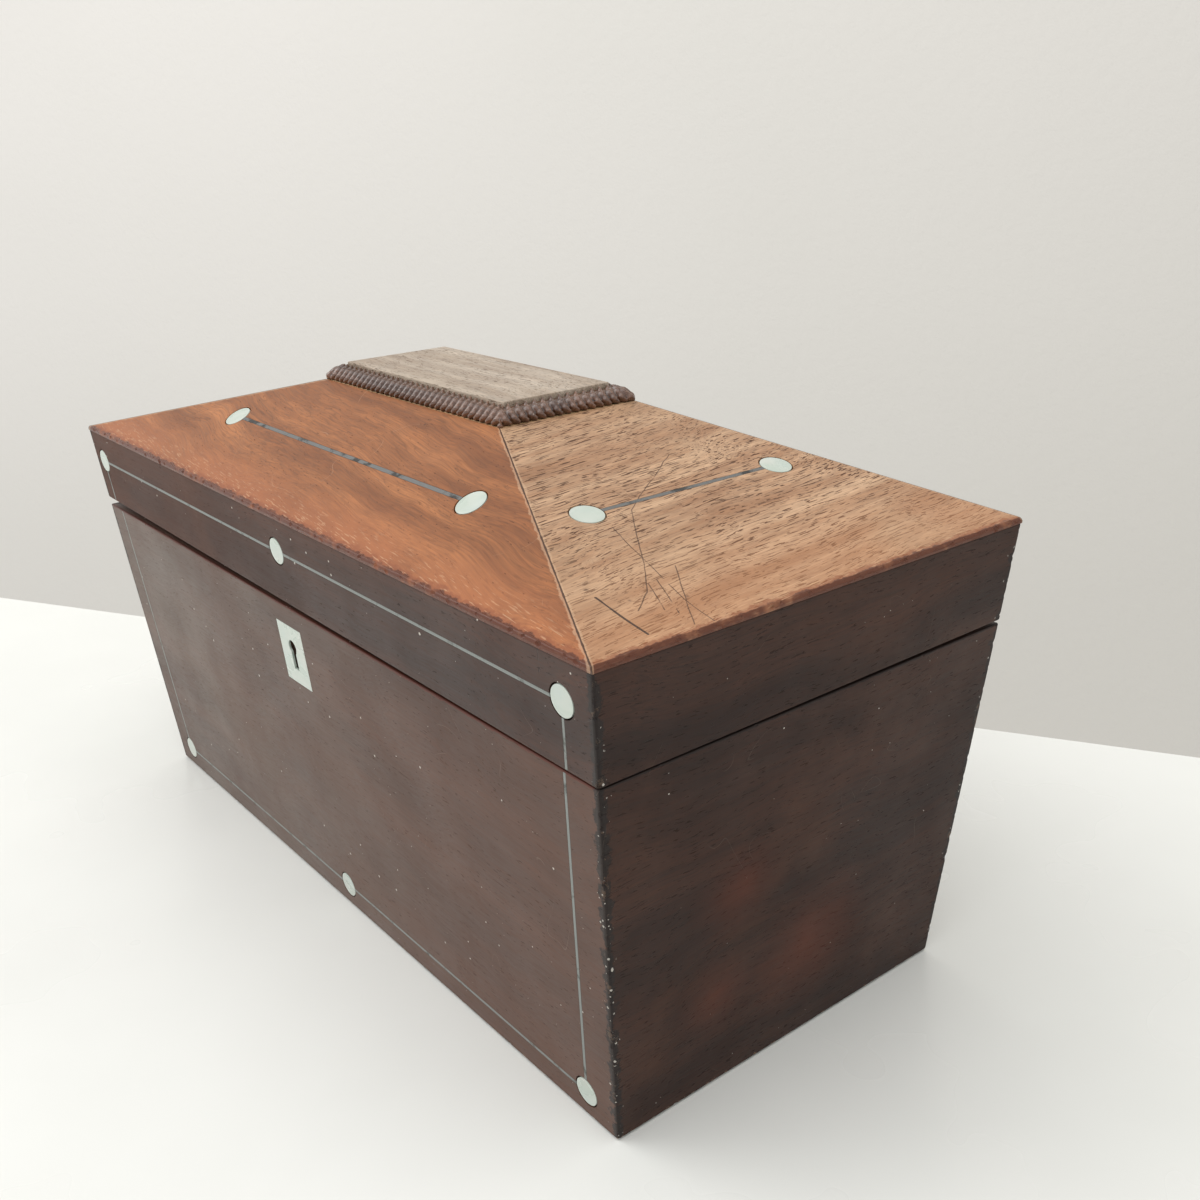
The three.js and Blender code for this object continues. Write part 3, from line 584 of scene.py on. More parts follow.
def split_at(shell, name, corner, direction, side):
    """The part of a shell that lies on one side, between the mitres at the corners.

    corner is a corner's place in plan, direction the way its mitre runs inwards, and side is one of
    front, back, left and right.
    """
    slant = direction[0] / direction[1]
    sign = 1 if side in ("back", "right") else -1
    narrow = 0.02 * MM
    if side in ("front", "back"):
        inner = max(corner[0] - corner[1] * slant, narrow)
        outer = corner[0] + OVERREACH * slant
        low, high = sorted((0, sign * (corner[1] + OVERREACH)))
        wedge = cube("wedge", (-outer, low, -OVERREACH), (outer, high, 5 * OVERREACH))
        edit(wedge)
        pick(wedge, "VERT", lambda v: abs(v.co.y) < narrow)
        resize_about((inner / outer, 1, 1), (0, 0, 0))
    else:
        apex = max(corner[0] - corner[1] * slant, narrow)
        outer = corner[1] + OVERREACH / slant
        low, high = sorted((sign * apex, sign * (corner[0] + OVERREACH)))
        wedge = cube("wedge", (low, -outer, -OVERREACH), (high, outer, 5 * OVERREACH))
        edit(wedge)
        pick(wedge, "VERT", lambda v: abs(abs(v.co.x) - apex) < narrow)
        resize_about((1, narrow / outer, 1), (0, 0, 0))
    leave()
    board = duplicate(shell, name)
    carve(board, wedge, operation="INTERSECT")
    discard(wedge)
    return board


OVERREACH = 40 * MM
SIDES = ("front", "back", "left", "right")


def pocket_cutters(prefix):
    """Cutters for every string and disc whose name starts with a prefix."""
    return [merged_copy(node, "cutter", joint)
            for node in sorted(n for n in NODES if n.startswith(prefix))
            for kind, joint in (("_string", STRING_JOINT), ("_roundel", ROUNDEL_JOINT))
            if node.endswith(kind)]


STRING_JOINT = 0.16 * MM
ROUNDEL_JOINT = 0.5 * MM
FITTING_JOINT = 0.15 * MM
KEY_WAY = (3.2 * MM, 5.6 * MM)  # half the width and half the height of the room behind the keyhole


def box_cutter(node, inwards, upwards):
    """A box round a CAD node, with a joint on every side and more room inwards and upwards."""
    low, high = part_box(node)
    joint = Vector((FITTING_JOINT,) * 3)
    return cube("cutter", low - joint, high + joint + Vector((0, inwards, upwards)))


def hinge_cutters():
    """Cutters for every part of both hinges."""
    return [merged_copy(f"{side}_hinge_{part}", "cutter", FITTING_JOINT)
            for side in ENDS for part in ("lower_leaf", "upper_leaf", "pin")]


def make_base_boards(materials):
    shell = leaning_shell("base_shell", FOOT, RIM, WALL)
    round_rims(shell)
    chip(shell, corner_runs(FOOT, RIM, 15) + level_runs(FOOT, 26, 12) + level_runs(RIM, 14, 5), 5)
    boards = {side: split_at(shell, f"base_{side}_veneered", FOOT, (1, 1), side) for side in SIDES}
    discard(shell)

    lock_pockets = [box_cutter(node, WALL, WALL) for node in ("lock_case", "lock_plate")]
    plate_low, plate_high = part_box("escutcheon")
    middle = (plate_low + plate_high) / 2
    key_way = cube("cutter", (middle.x - KEY_WAY[0], plate_low.y - MM, middle.z - KEY_WAY[1]),
                   (middle.x + KEY_WAY[0], plate_high.y + WALL, middle.z + KEY_WAY[1]))
    plate_pocket = merged_copy("escutcheon", "cutter", STRING_JOINT)
    inlay = pocket_cutters("base_")
    carve(boards["front"], *lock_pockets, key_way, plate_pocket, *inlay)
    hinges = hinge_cutters()
    carve(boards["back"], *hinges)
    discard(*lock_pockets, key_way, plate_pocket, *inlay, *hinges)
    for side, board in boards.items():
        smooth(board)
        hand_over(board, "base", [f"base_{side}_board"], materials[side])


# ---------- Lid walls and roof ----------


def lid_lifts():
    """How far each corner of the lid's lower edge stands above the rim."""
    def lowest(node, x_sign, y_sign):
        z = [v.co.z for v in NODES[node].data.vertices
             if v.co.x * x_sign > 0.1 and v.co.y * y_sign > 0.01]
        return min(z) - RIM[2]
    return {(x, y): lowest("lid_front_board" if y < 0 else "lid_back_board", x, y)
            for x in (-1, 1) for y in (-1, 1)}


def make_lid_walls(materials):
    top = EAVE_Z - ROOF_EDGE
    shell = leaning_shell("lid_shell", RIM, shell_at(top), WALL)
    edit(shell)
    for (x_sign, y_sign), lift in lid_lifts().items():
        pick(shell, "VERT", lambda v: (
            at_height(RIM[2])(v) and v.co.x * x_sign > 0 and v.co.y * y_sign > 0))
        bpy.ops.transform.translate(value=(x_sign * lift * LEAN_X, y_sign * lift * LEAN_Y, lift))
    leave()
    round_rims(shell)
    chip(shell, corner_runs(RIM, shell_at(top), 6), 11)
    boards = {side: split_at(shell, f"lid_{side}_veneered", RIM, (1, 1), side) for side in SIDES}
    discard(shell)
    inlay = pocket_cutters("lid_")
    link = box_cutter("link_plate", WALL, 0)
    carve(boards["front"], link, *inlay)
    hinges = hinge_cutters()
    carve(boards["back"], *hinges)
    discard(link, *inlay, *hinges)
    for side, board in boards.items():
        smooth(board)
        hand_over(board, "lid", [f"lid_{side}_board"], materials[side])


HIP_GROOVE = 0.11 * MM
ROOF_THICKNESS = 6 * MM
ROOF_SEAT = 13 * MM


def is_hip(edge):
    heights = [v.co.z for v in edge.verts]
    return (max(heights) > CROWN_Z - FINE and max(heights) - min(heights) > 5 * MM
            and edge.calc_face_angle(0) > 0.5)


def make_roof(materials):
    """The hipped roof in four mitred boards, from one frustum that is hollow underneath."""
    edge = shell_at(EAVE_Z - ROOF_EDGE)
    roof = cube("roof", (-edge[0], -edge[1], edge[2]), (edge[0], edge[1], EAVE_Z))
    edit(roof)
    pick(roof, "FACE", at_height(EAVE_Z))
    resize_about((EAVE[0] / edge[0], EAVE[1] / edge[1], 1), (0, 0, EAVE_Z))
    bpy.ops.mesh.extrude_region_move(TRANSFORM_OT_translate={"value": (0, 0, CROWN_Z - EAVE_Z)})
    resize_about((CROWN[0] / EAVE[0], CROWN[1] / EAVE[1], 1), (0, 0, CROWN_Z))
    pick(roof, "FACE", at_height(edge[2]))
    bpy.ops.mesh.inset(thickness=ROOF_SEAT)
    rise = CROWN_Z - EAVE_Z - ROOF_THICKNESS
    bpy.ops.mesh.extrude_region_move(TRANSFORM_OT_translate={"value": (0, 0, rise)})
    hollow = (EAVE[0] - ROOF_SEAT, EAVE[1] - ROOF_SEAT)
    resize_about((CROWN[0] / hollow[0], CROWN[1] / hollow[1], 1), (0, 0, edge[2] + rise))
    pick(roof, "EDGE", at_height(EAVE_Z))
    bpy.ops.mesh.bevel(offset=0.8 * MM, segments=4, affect="EDGES")
    leave()
    tidy(roof)
    crown = merged_copy("crown_board", "cutter", STRING_JOINT)
    carve(roof, crown)
    discard(crown)
    worn = (EAVE[0] - 0.25 * MM, EAVE[1] - 0.25 * MM, EAVE_Z - 0.1 * MM)
    chip(roof, level_runs(worn, 46, 22), 23)
    hip = (EAVE[0] - CROWN[0], EAVE[1] - CROWN[1])
    boards = {side: split_at(roof, f"roof_{side}_veneered", EAVE, hip, side) for side in SIDES}
    discard(roof)
    for side, board in boards.items():
        inlay = pocket_cutters(f"{side}_slope")
        carve(board, *inlay)
        discard(*inlay)
        edit(board)
        pick(board, "EDGE", is_hip)
        bpy.ops.mesh.bevel(offset=HIP_GROOVE, segments=1, affect="EDGES")
        leave()
        smooth(board)
        hand_over(board, "lid", [f"roof_{side}_slope"], materials[side])


# ---------- Crown: top panel and gadrooned moulding ----------

LOBE_PITCH = 2.95 * MM
LOBE_SHAPE = (1.16, 1.3, 3.5)  # half its width, thickness and length in mm
CARVING_GRAIN = 0.22 * MM


def make_top_panel(material):
    low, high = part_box("top_panel")
    panel = cube("top_panel_veneered", low, high)
    edit(panel)
    pick(panel, "EDGE", lambda e: abs(e.verts[0].co.z - high.z) < MM or abs(e.verts[1].co.z - high.z) < MM)
    bpy.ops.mesh.bevel(offset=0.35 * MM, segments=2, affect="EDGES")
    leave()
    smooth(panel)
    hand_over(panel, "lid", ["top_panel"], material)


def make_lobe():
    """One carved lobe of the moulding on the front side: a bead that is fuller at its lower, outer end."""
    clear_selection()
    bpy.ops.mesh.primitive_uv_sphere_add(segments=14, ring_count=12, radius=MM)
    lobe = named(bpy.context.object, "lobe")
    lobe.scale = LOBE_SHAPE
    bpy.ops.object.transform_apply(scale=True)
    edit(lobe)
    for reach_out, shift in ((2.7, 0.5), (1.9, 0.4), (0.9, 0.2)):
        pick(lobe, "VERT", lambda v, limit=reach_out * MM: abs(v.co.z) < limit)
        bpy.ops.transform.translate(value=(shift * MM, 0, 0))
    pick(lobe, "VERT", lambda v: v.co.z < -1.4 * MM)
    resize_about((1.18, 1.2, 1), (0, 0, -2 * MM))
    pick(lobe, "VERT", lambda v: v.co.z > 1.2 * MM)
    resize_about((0.8, 0.75, 1), (0, 0.6 * MM, 2 * MM))
    leave()
    lobe.data.transform(
        Matrix.Rotation(math.radians(-45), 4, "X") @ Matrix.Rotation(math.radians(3), 4, "Y"))
    return lobe


def make_moulding(side, lobe, material):
    """A length of quarter-round carved with lobes, mitred at both ends."""
    node = f"{side}_moulding"
    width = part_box("front_moulding")[1].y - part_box("front_moulding")[0].y
    turns = {"front": 0, "right": 1, "back": 2, "left": 3}[side]
    turn = Matrix.Rotation(turns * math.pi / 2, 4, "Z")
    long_side = side in ("front", "back")
    half = CROWN[0] if long_side else CROWN[1]
    away = CROWN[1] if long_side else CROWN[0]
    seat = 0.52 * width

    core = merged_copy(node, "core")
    edit(core)
    bpy.ops.mesh.select_all(action="SELECT")
    inner = turn @ Vector((0, width - away, CROWN_Z))
    slim = (1, 0.74, 0.8) if long_side else (0.74, 1, 0.8)
    resize_about(slim, inner)
    leave()

    count = int((half - width) / LOBE_PITCH) + 1
    pitch = (half - width / 2) / (count + 0.35)
    lobes = []
    lobe = duplicate(lobe, "lobe_turned")
    if not long_side:
        lobe.data.transform(Matrix.Diagonal((-1, 1, 1, 1)))
        lobe.data.flip_normals()
    for index in range(-count, count + 1):
        place = Vector((index * pitch, width - away - seat, CROWN_Z + seat * 0.98))
        copy = duplicate(lobe, "lobe_copy")
        copy.data.transform(turn @ Matrix.Translation(place))
        lobes.append(copy)
    for corner in (-1, 1):
        place = Vector((corner * (half - width + seat), width - away - seat, CROWN_Z + seat * 0.9))
        copy = duplicate(lobe, "lobe_copy")
        longer = Matrix.Diagonal((1.1, 1.3, 1.02, 1))
        copy.data.transform(turn @ Matrix.Translation(place)
                            @ Matrix.Rotation(corner * math.pi / 4, 4, "Z") @ longer)
        lobes.append(copy)
    select_only(core)
    for copy in lobes:
        copy.select_set(True)
    bpy.ops.object.join()
    discard(lobe)
    apply_modifier(core, "REMESH", mode="VOXEL", voxel_size=CARVING_GRAIN)
    below = cube("below", (-EAVE[0], -EAVE[1], EAVE_Z), (EAVE[0], EAVE[1], CROWN_Z + 0.02 * MM))
    carve(core, below)
    discard(below)
    piece = split_at(core, f"{side}_moulding_carved", CROWN, (1, 1), side)
    discard(core)
    smooth(piece, 50)
    hand_over(piece, "lid", [node], material)


# ---------- Pearl inlay ----------


def face_of(node):
    """The middle and the outward normal of a flat node's outer face, and its greatest radius there."""
    mesh = NODES[node].data
    low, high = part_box(node)
    middle = (low + high) / 2
    outward = middle - Vector((0, 0, EAVE_Z / 2))
    areas = {}
    for face in mesh.polygons:
        key = tuple(round(c, 2) for c in face.normal)
        areas[key] = areas.get(key, 0) + face.area
    widest = sorted(areas, key=areas.get)[-2:]
    chosen = max(widest, key=lambda n: Vector(n).dot(outward))
    faces = [f for f in mesh.polygons if tuple(round(c, 2) for c in f.normal) == chosen]
    normal = sum((f.normal * f.area for f in faces), Vector()).normalized()
    corners = [mesh.vertices[i].co for f in faces for i in f.vertices]
    centre = Vector([(min(c[a] for c in corners) + max(c[a] for c in corners)) / 2 for a in range(3)])
    return centre, normal, max((c - centre).length for c in corners)


ROUNDEL_THICKNESS = 0.7 * MM


def make_roundel(node, body, material):
    """A pearl disc: cut by hand, so not quite round, with its edge eased and its face a little domed."""
    chance = random.Random(node)
    centre, normal, radius = face_of(node)
    disc = cylinder(f"{node}_pearl", radius, ROUNDEL_THICKNESS, 56)
    edit(disc)
    pick(disc, "EDGE", at_height(ROUNDEL_THICKNESS))
    bpy.ops.mesh.bevel(offset=0.1 * MM, segments=2, affect="EDGES")
    pick(disc, "FACE", at_height(ROUNDEL_THICKNESS))
    bpy.ops.mesh.inset(thickness=radius * 0.35)
    bpy.ops.transform.translate(value=(0, 0, 0.04 * MM))
    leave()
    oval = Matrix.Diagonal((1 - chance.uniform(0, 0.035), 1, 1, 1))
    spin = Matrix.Rotation(chance.uniform(0, math.pi), 4, "Z")
    stand = normal.to_track_quat("Z", "Y").to_matrix().to_4x4()
    disc.data.transform(Matrix.Translation(centre - normal * ROUNDEL_THICKNESS) @ stand @ spin @ oval)
    smooth(disc)
    hand_over(disc, body, [node], material)


def make_escutcheon(material):
    plate = merged_copy("escutcheon", "escutcheon_pearl", whole_faces=False)
    apply_modifier(plate, "BEVEL", width=0.1 * MM, segments=2, limit_method="ANGLE",
                   angle_limit=math.radians(50))
    smooth(plate)
    hand_over(plate, "base", ["escutcheon"], material)


# ---------- Screws ----------

SCREW_RADIUS = 1.45 * MM
SCREW_DEPTH = 0.9 * MM
SCREW_PROUD = 0.08 * MM
SCREW_SLOT = (0.22 * MM, 0.45 * MM)  # half its width, and its depth
LEAF_SCREW_INSET = 3.4 * MM
LEAF_SCREW_SPREAD = 0.34  # of the leaf's length
LOCK_SCREW_INSET = 4 * MM
LINK_SCREW_INSET = 3.2 * MM
LINK_THICKNESS = 1.5 * MM


def make_screw_pattern():
    """A flat-headed slotted screw's head, standing on the origin."""
    head = cylinder("screw", SCREW_RADIUS, SCREW_DEPTH, 32)
    edit(head)
    pick(head, "EDGE", at_height(SCREW_DEPTH))
    bpy.ops.mesh.bevel(offset=0.12 * MM, segments=2, affect="EDGES")
    leave()
    slot = cube("cutter", (-2 * SCREW_RADIUS, -SCREW_SLOT[0], SCREW_DEPTH - SCREW_SLOT[1]),
                (2 * SCREW_RADIUS, SCREW_SLOT[0], SCREW_DEPTH + MM))
    carve(head, slot)
    discard(slot)
    smooth(head)
    return head


def place_screws(pattern, node, body, material, places, facing, turn_seed):
    """Screws in a metal plate at places in plan, facing up (1) or down (-1) from its flat side."""
    chance = random.Random(turn_seed)
    for index, (x, y, z) in enumerate(places, 1):
        screw = duplicate(pattern, f"{node}_screw_{index}")
        flip = Matrix.Rotation(0 if facing > 0 else math.pi, 4, "X")
        spin = Matrix.Rotation(chance.uniform(0, math.pi), 4, "Z")
        proud = Matrix.Translation((x, y, z + facing * SCREW_PROUD))
        screw.data.transform(proud @ flip @ Matrix.Translation((0, 0, -SCREW_DEPTH)) @ spin)
        smooth(screw)
        hand_over(screw, body, (), material)


def add_screws(material):
    pattern = make_screw_pattern()
    for side in ENDS:
        for leaf, body, facing in (("lower", "base", 1), ("upper", "lid", -1)):
            node = f"{side}_hinge_{leaf}_leaf"
            low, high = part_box(node)
            y = low.y + LEAF_SCREW_INSET
            z = RIM[2] if facing > 0 else min(
                v.co.z for v in NODES[node].data.vertices if v.co.y < low.y + MM)
            spread = (high.x - low.x) * LEAF_SCREW_SPREAD
            middle = (low.x + high.x) / 2
            places = [(middle + k * spread, y, z) for k in (-1, 0, 1)]
            place_screws(pattern, node, body, material, places, facing, node)
    low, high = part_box("lock_plate")
    places = [(k * (high.x - LOCK_SCREW_INSET), (low.y + high.y) / 2, high.z) for k in (-1, 1)]
    place_screws(pattern, "lock_plate", "base", material, places, 1, "lock_plate")
    low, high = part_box("link_plate")
    foot = max(v.co.z for v in NODES["link_plate"].data.vertices) - LINK_THICKNESS
    places = [(k * (high.x - LINK_SCREW_INSET), (low.y + high.y) / 2, foot) for k in (-1, 1)]
    place_screws(pattern, "link_plate", "lid", material, places, -1, "link_plate")
    discard(pattern)


# ---------- Pieces inside ----------


def make_knob(side, material):
    """A turned bone knob, smoothed from its turned outline."""
    node = f"{side}_tea_lid_knob"
    knob = duplicate(NODES[node], f"{node}_turned")
    edit(knob)
    bpy.ops.mesh.select_all(action="SELECT")
    bpy.ops.mesh.remove_doubles(threshold=0.001 * MM)
    bpy.ops.mesh.tris_convert_to_quads()
    leave()
    apply_modifier(knob, "SUBSURF", levels=1, render_levels=1)
    smooth(knob, 60)
    hand_over(knob, f"{side}_tea_cover", [node], material)


def make_tea_lid(side, material):
    node = f"{side}_tea_lid"
    lid = merged_copy(node, f"{node}_veneered")
    apply_modifier(lid, "BEVEL", width=0.5 * MM, segments=3, limit_method="ANGLE",
                   angle_limit=math.radians(40))
    smooth(lid)
    hand_over(lid, f"{side}_tea_cover", [node], material)


EASED_ANGLE = math.radians(40)


def ease_edges(node, width, material):
    """Gives a carried-over node its finish, and breaks its sharp edges."""
    piece = NODES[node]
    give_material(piece, material)
    if width:
        weld = piece.modifiers.new("weld", "WELD")
        weld.merge_threshold = 0.001 * MM
        bevel = piece.modifiers.new("eased edges", "BEVEL")
        bevel.width = width
        bevel.segments = 2
        bevel.limit_method = "ANGLE"
        bevel.angle_limit = EASED_ANGLE


# ---------- Finishes ----------

TIMBER = timber_group()
HAIRLINES = hairlines_group()
SPECKS = specks_group()
SHELL = shell_group()
EDGE_BAND = edge_band_group()
SCRATCH = scratch_group()


class Finish:
    """A material that is built up in layers of colour, roughness and height."""

    def __init__(self, name, turn=0.0):
        self.material = bpy.data.materials.new(name)
        self.material.use_nodes = True
        self.tree = self.material.node_tree
        self.shader = self.tree.nodes["Principled BSDF"]
        self.place = add_node(self.tree, "ShaderNodeTexCoord").outputs["Object"]
        self.along = self.place
        if turn:
            self.along = add_node(self.tree, "ShaderNodeMapping", {
                "Vector": self.place, "Rotation": (0, 0, math.radians(turn))}).outputs[0]
        self.color = self.rough = self.height = None

    def paint(self, mask, color, strength=1.0, height=0.0, rough=0.0):
        """Lays a colour over the ones before, and can raise and roughen the same places."""
        share = mask if strength == 1.0 else times(self.tree, mask, strength)
        self.color = blend_colors(self.tree, share, self.color, color)
        if height:
            self.raise_by(mask, height)
        if rough:
            self.roughen(mask, rough)

    def roughen(self, mask, amount):
        self.rough = plus(self.tree, self.rough, times(self.tree, mask, amount))

    def raise_by(self, mask, amount):
        step = times(self.tree, mask, amount)
        self.height = step if self.height is None else plus(self.tree, self.height, step)

    def noise(self, scale, detail=3.0, roughness=0.5, low=0.3, high=0.7, vector=None):
        field = noise(self.tree, vector or self.along, scale, detail, roughness)
        return between(self.tree, field, low, high)

    def finish(self, relief=0.1 * MM, **sockets):
        tree, shader = self.tree, self.shader
        tree.links.new(self.color, shader.inputs["Base Color"])
        tree.links.new(self.rough, shader.inputs["Roughness"])
        if self.height is not None:
            bump = add_node(tree, "ShaderNodeBump", {"Height": self.height, "Distance": relief})
            tree.links.new(bump.outputs[0], shader.inputs["Normal"])
        for key, value in sockets.items():
            shader.inputs[key.replace("_", " ")].default_value = value
        return self.material


def start_wood(name, turn, dark, light, pore, cover=0.5, pore_length=3 * MM, figure_width=12 * MM,
               smoothness=0.35, pore_depth=0.8, rings=0.3):
    """Bare timber: figure from dark to light, streaky fibre, and pores."""
    wood = Finish(name, turn)
    timber = use_group(wood.tree, TIMBER, {
        "Vector": wood.along, "Figure Width": figure_width, "Pore Cover": cover,
        "Pore Length": pore_length})
    wood.color = blend_colors(wood.tree, timber.outputs["Figure"], dark, light)
    fibre, pores = timber.outputs["Fibre"], timber.outputs["Pores"]
    wood.paint(timber.outputs["Rings"], tuple(c * 0.6 for c in dark), rings)
    streak = between(wood.tree, fibre, 0.0, 1.0, 0.7, 1.2, False)
    tint = add_node(wood.tree, "ShaderNodeCombineColor", {0: streak, 1: streak, 2: streak}).outputs[0]
    wood.color = blend_colors(wood.tree, 1.0, wood.color, tint, "MULTIPLY")
    cloud = wood.noise(28, 4, 0.6)
    wood.paint(cloud, tuple(c * 0.72 for c in dark), 0.3)
    wood.paint(pores, pore, pore_depth)
    wood.rough = between(wood.tree, fibre, 0.0, 1.0, smoothness, smoothness + 0.12, False)
    wood.roughen(pores, 0.25)
    wood.raise_by(fibre, 0.12)
    wood.raise_by(pores, -0.9)
    return wood


def band(wood, distance, width, raggedness=0.5):
    return use_group(wood.tree, EDGE_BAND, {
        "Vector": wood.place, "Distance": distance, "Width": width,
        "Raggedness": raggedness}).outputs["Mask"]


def flecks(wood, spacing, size, share):
    return use_group(wood.tree, SPECKS, {
        "Vector": wood.place, "Spacing": spacing, "Size": size, "Share": share}).outputs["Mask"]


def hairlines(wood, scale, cover):
    return use_group(wood.tree, HAIRLINES, {
        "Vector": wood.place, "Scale": scale, "Cover": cover}).outputs["Mask"]


def scratches(wood, runs, width):
    """One mask for several scratches, each given as a list of places in plan and height, in mm."""
    whole = None
    for run in runs:
        for start, end in zip(run, run[1:]):
            mask = use_group(wood.tree, SCRATCH, {
                "Vector": wood.place, "Start": Vector(start) * MM, "End": Vector(end) * MM,
                "Width": width}).outputs["Mask"]
            whole = mask if whole is None else calculate(wood.tree, "MAXIMUM", whole, mask)
    return whole


def soft_spot(wood, centre, radius):
    """A soft round patch about a place in mm, fading to nothing at its radius."""
    away = add_node(wood.tree, "ShaderNodeVectorMath", {0: wood.place, 1: Vector(centre) * MM},
                    operation="DISTANCE").outputs["Value"]
    wobble = times(wood.tree, noise(wood.tree, wood.place, 40, 3), radius * MM * 0.9)
    return between(wood.tree, plus(wood.tree, away, wobble), radius * MM * 1.45, 0.0)


POLISH_DARK = (0.034, 0.0125, 0.0075)
POLISH_LIGHT = (0.072, 0.028, 0.016)
POLISH_PORE = (0.008, 0.005, 0.004)
SUNNY_DARK = (0.21, 0.07, 0.022)
SUNNY_LIGHT = (0.42, 0.16, 0.055)
SUNNY_PORE = (0.07, 0.025, 0.012)
BLEACHED_DARK = (0.34, 0.175, 0.09)
BLEACHED_LIGHT = (0.58, 0.375, 0.23)
BLEACHED_PORE = (0.075, 0.032, 0.016)
WORN_EDGE = (0.085, 0.022, 0.010)
# Near black: dark wax and cracks, and also painted shade along the lid joint, at the foot and in the carved
# grooves.
BLACK_WAX_AND_SHADE = (0.012, 0.008, 0.007)
DUST = (0.62, 0.58, 0.52)


def polished_side(side):
    """The French-polished walls: dark, with dusty flecks and worn edges, and a painted greyish reflection
    haze towards the left of the base front.
    """
    facing = side in ("front", "back")
    turn = 0 if facing else 90
    lift = 1.0 if facing else 0.62
    wood = start_wood(
        f"{side} polished rosewood", turn, tuple(c * lift * 0.9 for c in POLISH_DARK),
        tuple(c * (lift + 0.1) for c in POLISH_LIGHT), POLISH_PORE, cover=0.5 if facing else 0.8,
        pore_length=3 * MM, figure_width=16 * MM, smoothness=0.36 if facing else 0.44,
        pore_depth=0.5)
    tree = wood.tree
    shell = use_group(tree, SHELL, {"Vector": wood.place})
    corner = calculate(tree, "MAXIMUM", shell.outputs["Along Front"], shell.outputs["Along End"])
    height = shell.outputs["Above Foot"]
    depth = calculate(tree, "MINIMUM", shell.outputs["Along Front"], shell.outputs["Along End"])
    outside = between(tree, depth, 1.2 * MM, 0.6 * MM)

    def outer(mask):
        return times(tree, mask, outside)

    across = add_node(tree, "ShaderNodeSeparateXYZ", {"Vector": wood.place})
    if side == "front":
        warm = times(tree, between(tree, across.outputs["X"], 110 * MM, -130 * MM),
                     between(tree, height, RIM[2], RIM[2] + 3 * MM))
        wood.paint(times(tree, warm, wood.noise(11, 4, 0.6, 0.1, 0.7)), (0.10, 0.032, 0.013), 0.7)
        wood.roughen(warm, 0.25)
        faded = times(tree, between(tree, height, RIM[2] + 2 * MM, RIM[2] - 2 * MM),
                      wood.noise(13, 4, 0.6, 0.0, 0.6))
        wood.paint(faded, (0.2, 0.105, 0.07), 0.27)
        # Painted reflection: a greyish haze on the base front, strongest towards its left end.
        painted_haze_reflection = times(tree, between(tree, across.outputs["X"], 90 * MM, -150 * MM),
                      between(tree, height, RIM[2] + 2 * MM, RIM[2] - 2 * MM))
        wood.paint(times(tree, painted_haze_reflection, wood.noise(9, 4, 0.6, 0.2, 0.75)), (0.21, 0.18, 0.15), 0.62)
        crack = scratches(wood, [[(133.6, -73.3, 137.5), (132.8, -72.8, 131)]], 0.32 * MM)
        wood.paint(crack, BLACK_WAX_AND_SHADE, height=-2)
    if side == "right":
        for centre, radius in (((143, 4, 32), 26), ((146, -22, 62), 18), ((144, -30, 30), 14)):
            wood.paint(soft_spot(wood, centre, radius), (0.13, 0.03, 0.012), 0.55)
    wood.paint(wood.noise(22, 5, 0.65, 0.45, 0.8), (0.12, 0.052, 0.03), 0.28)
    eave = band(wood, shell.outputs["Below Eaves"], 1.1 * MM, 0.35)
    wood.paint(eave, WORN_EDGE, 0.85, rough=-0.12)
    # Painted highlight: a thin orange-red line right at the eave edge.
    eave_highlight = band(wood, shell.outputs["Below Eaves"], 0.25 * MM, 0.9)
    wood.paint(eave_highlight, (0.24, 0.07, 0.03), 0.6)
    # Painted shade: near black along the lid joint, widening the dark line of the shaded gap between lid
    # and base.
    joint = band(wood, shell.outputs["From Joint"], (0.35 if side == "front" else 0.6) * MM, 0.6)
    wood.paint(outer(joint), BLACK_WAX_AND_SHADE, 0.8)
    if side == "front":
        below = calculate(tree, "LESS_THAN", height, RIM[2] + FINE)
        lip = band(wood, shell.outputs["From Joint"], 0.7 * MM, 0.8)
        wood.paint(outer(times(tree, lip, below)), (0.11, 0.024, 0.012), 0.6)
    black = band(wood, corner, 2.2 * MM, 1.0)
    wood.paint(outer(black), BLACK_WAX_AND_SHADE, 0.9)
    chips = times(tree, band(wood, corner, 1.6 * MM, 1.2),
                  wood.noise(240, 5, 0.7, 0.56, 0.64, wood.place))
    wood.paint(outer(chips), (0.13, 0.08, 0.05), 0.6)
    wood.raise_by(chips, -1.5)
    frayed = times(tree, band(wood, corner, 2.6 * MM, 1.0), flecks(wood, 1.1 * MM, 0.34, 0.3))
    wood.paint(outer(frayed), DUST, 0.7)
    # Painted shade: the lowest millimetre of each wall, where the box meets the table, is painted near
    # black.
    foot = band(wood, height, 1.0 * MM, 0.9)
    wood.paint(foot, BLACK_WAX_AND_SHADE, 0.8)
    foot_chips = times(tree, band(wood, height, 1.1 * MM, 1.2),
                       wood.noise(500, 3, 0.6, 0.5, 0.58, wood.place))
    wood.paint(foot_chips, (0.26, 0.16, 0.10), 0.6, height=-2)
    wood.paint(flecks(wood, 4.5 * MM, *((0.09, 0.5) if facing else (0.05, 0.25))), DUST, 0.8)
    wood.paint(flecks(wood, 1.8 * MM, 0.09, 0.2 if facing else 0.1), DUST, 0.5)
    rubs = hairlines(wood, 38, 0.46)
    wood.paint(rubs, (0.2, 0.15, 0.12), 0.35 if facing else 0.1, height=-0.5)
    wood.roughen(wood.noise(30, 4, 0.6), 0.12)
    return wood.finish(0.06 * MM, Coat_Weight=0.1, Coat_Roughness=0.25,
                       Specular_IOR_Level=0.3 if facing else 0.2)


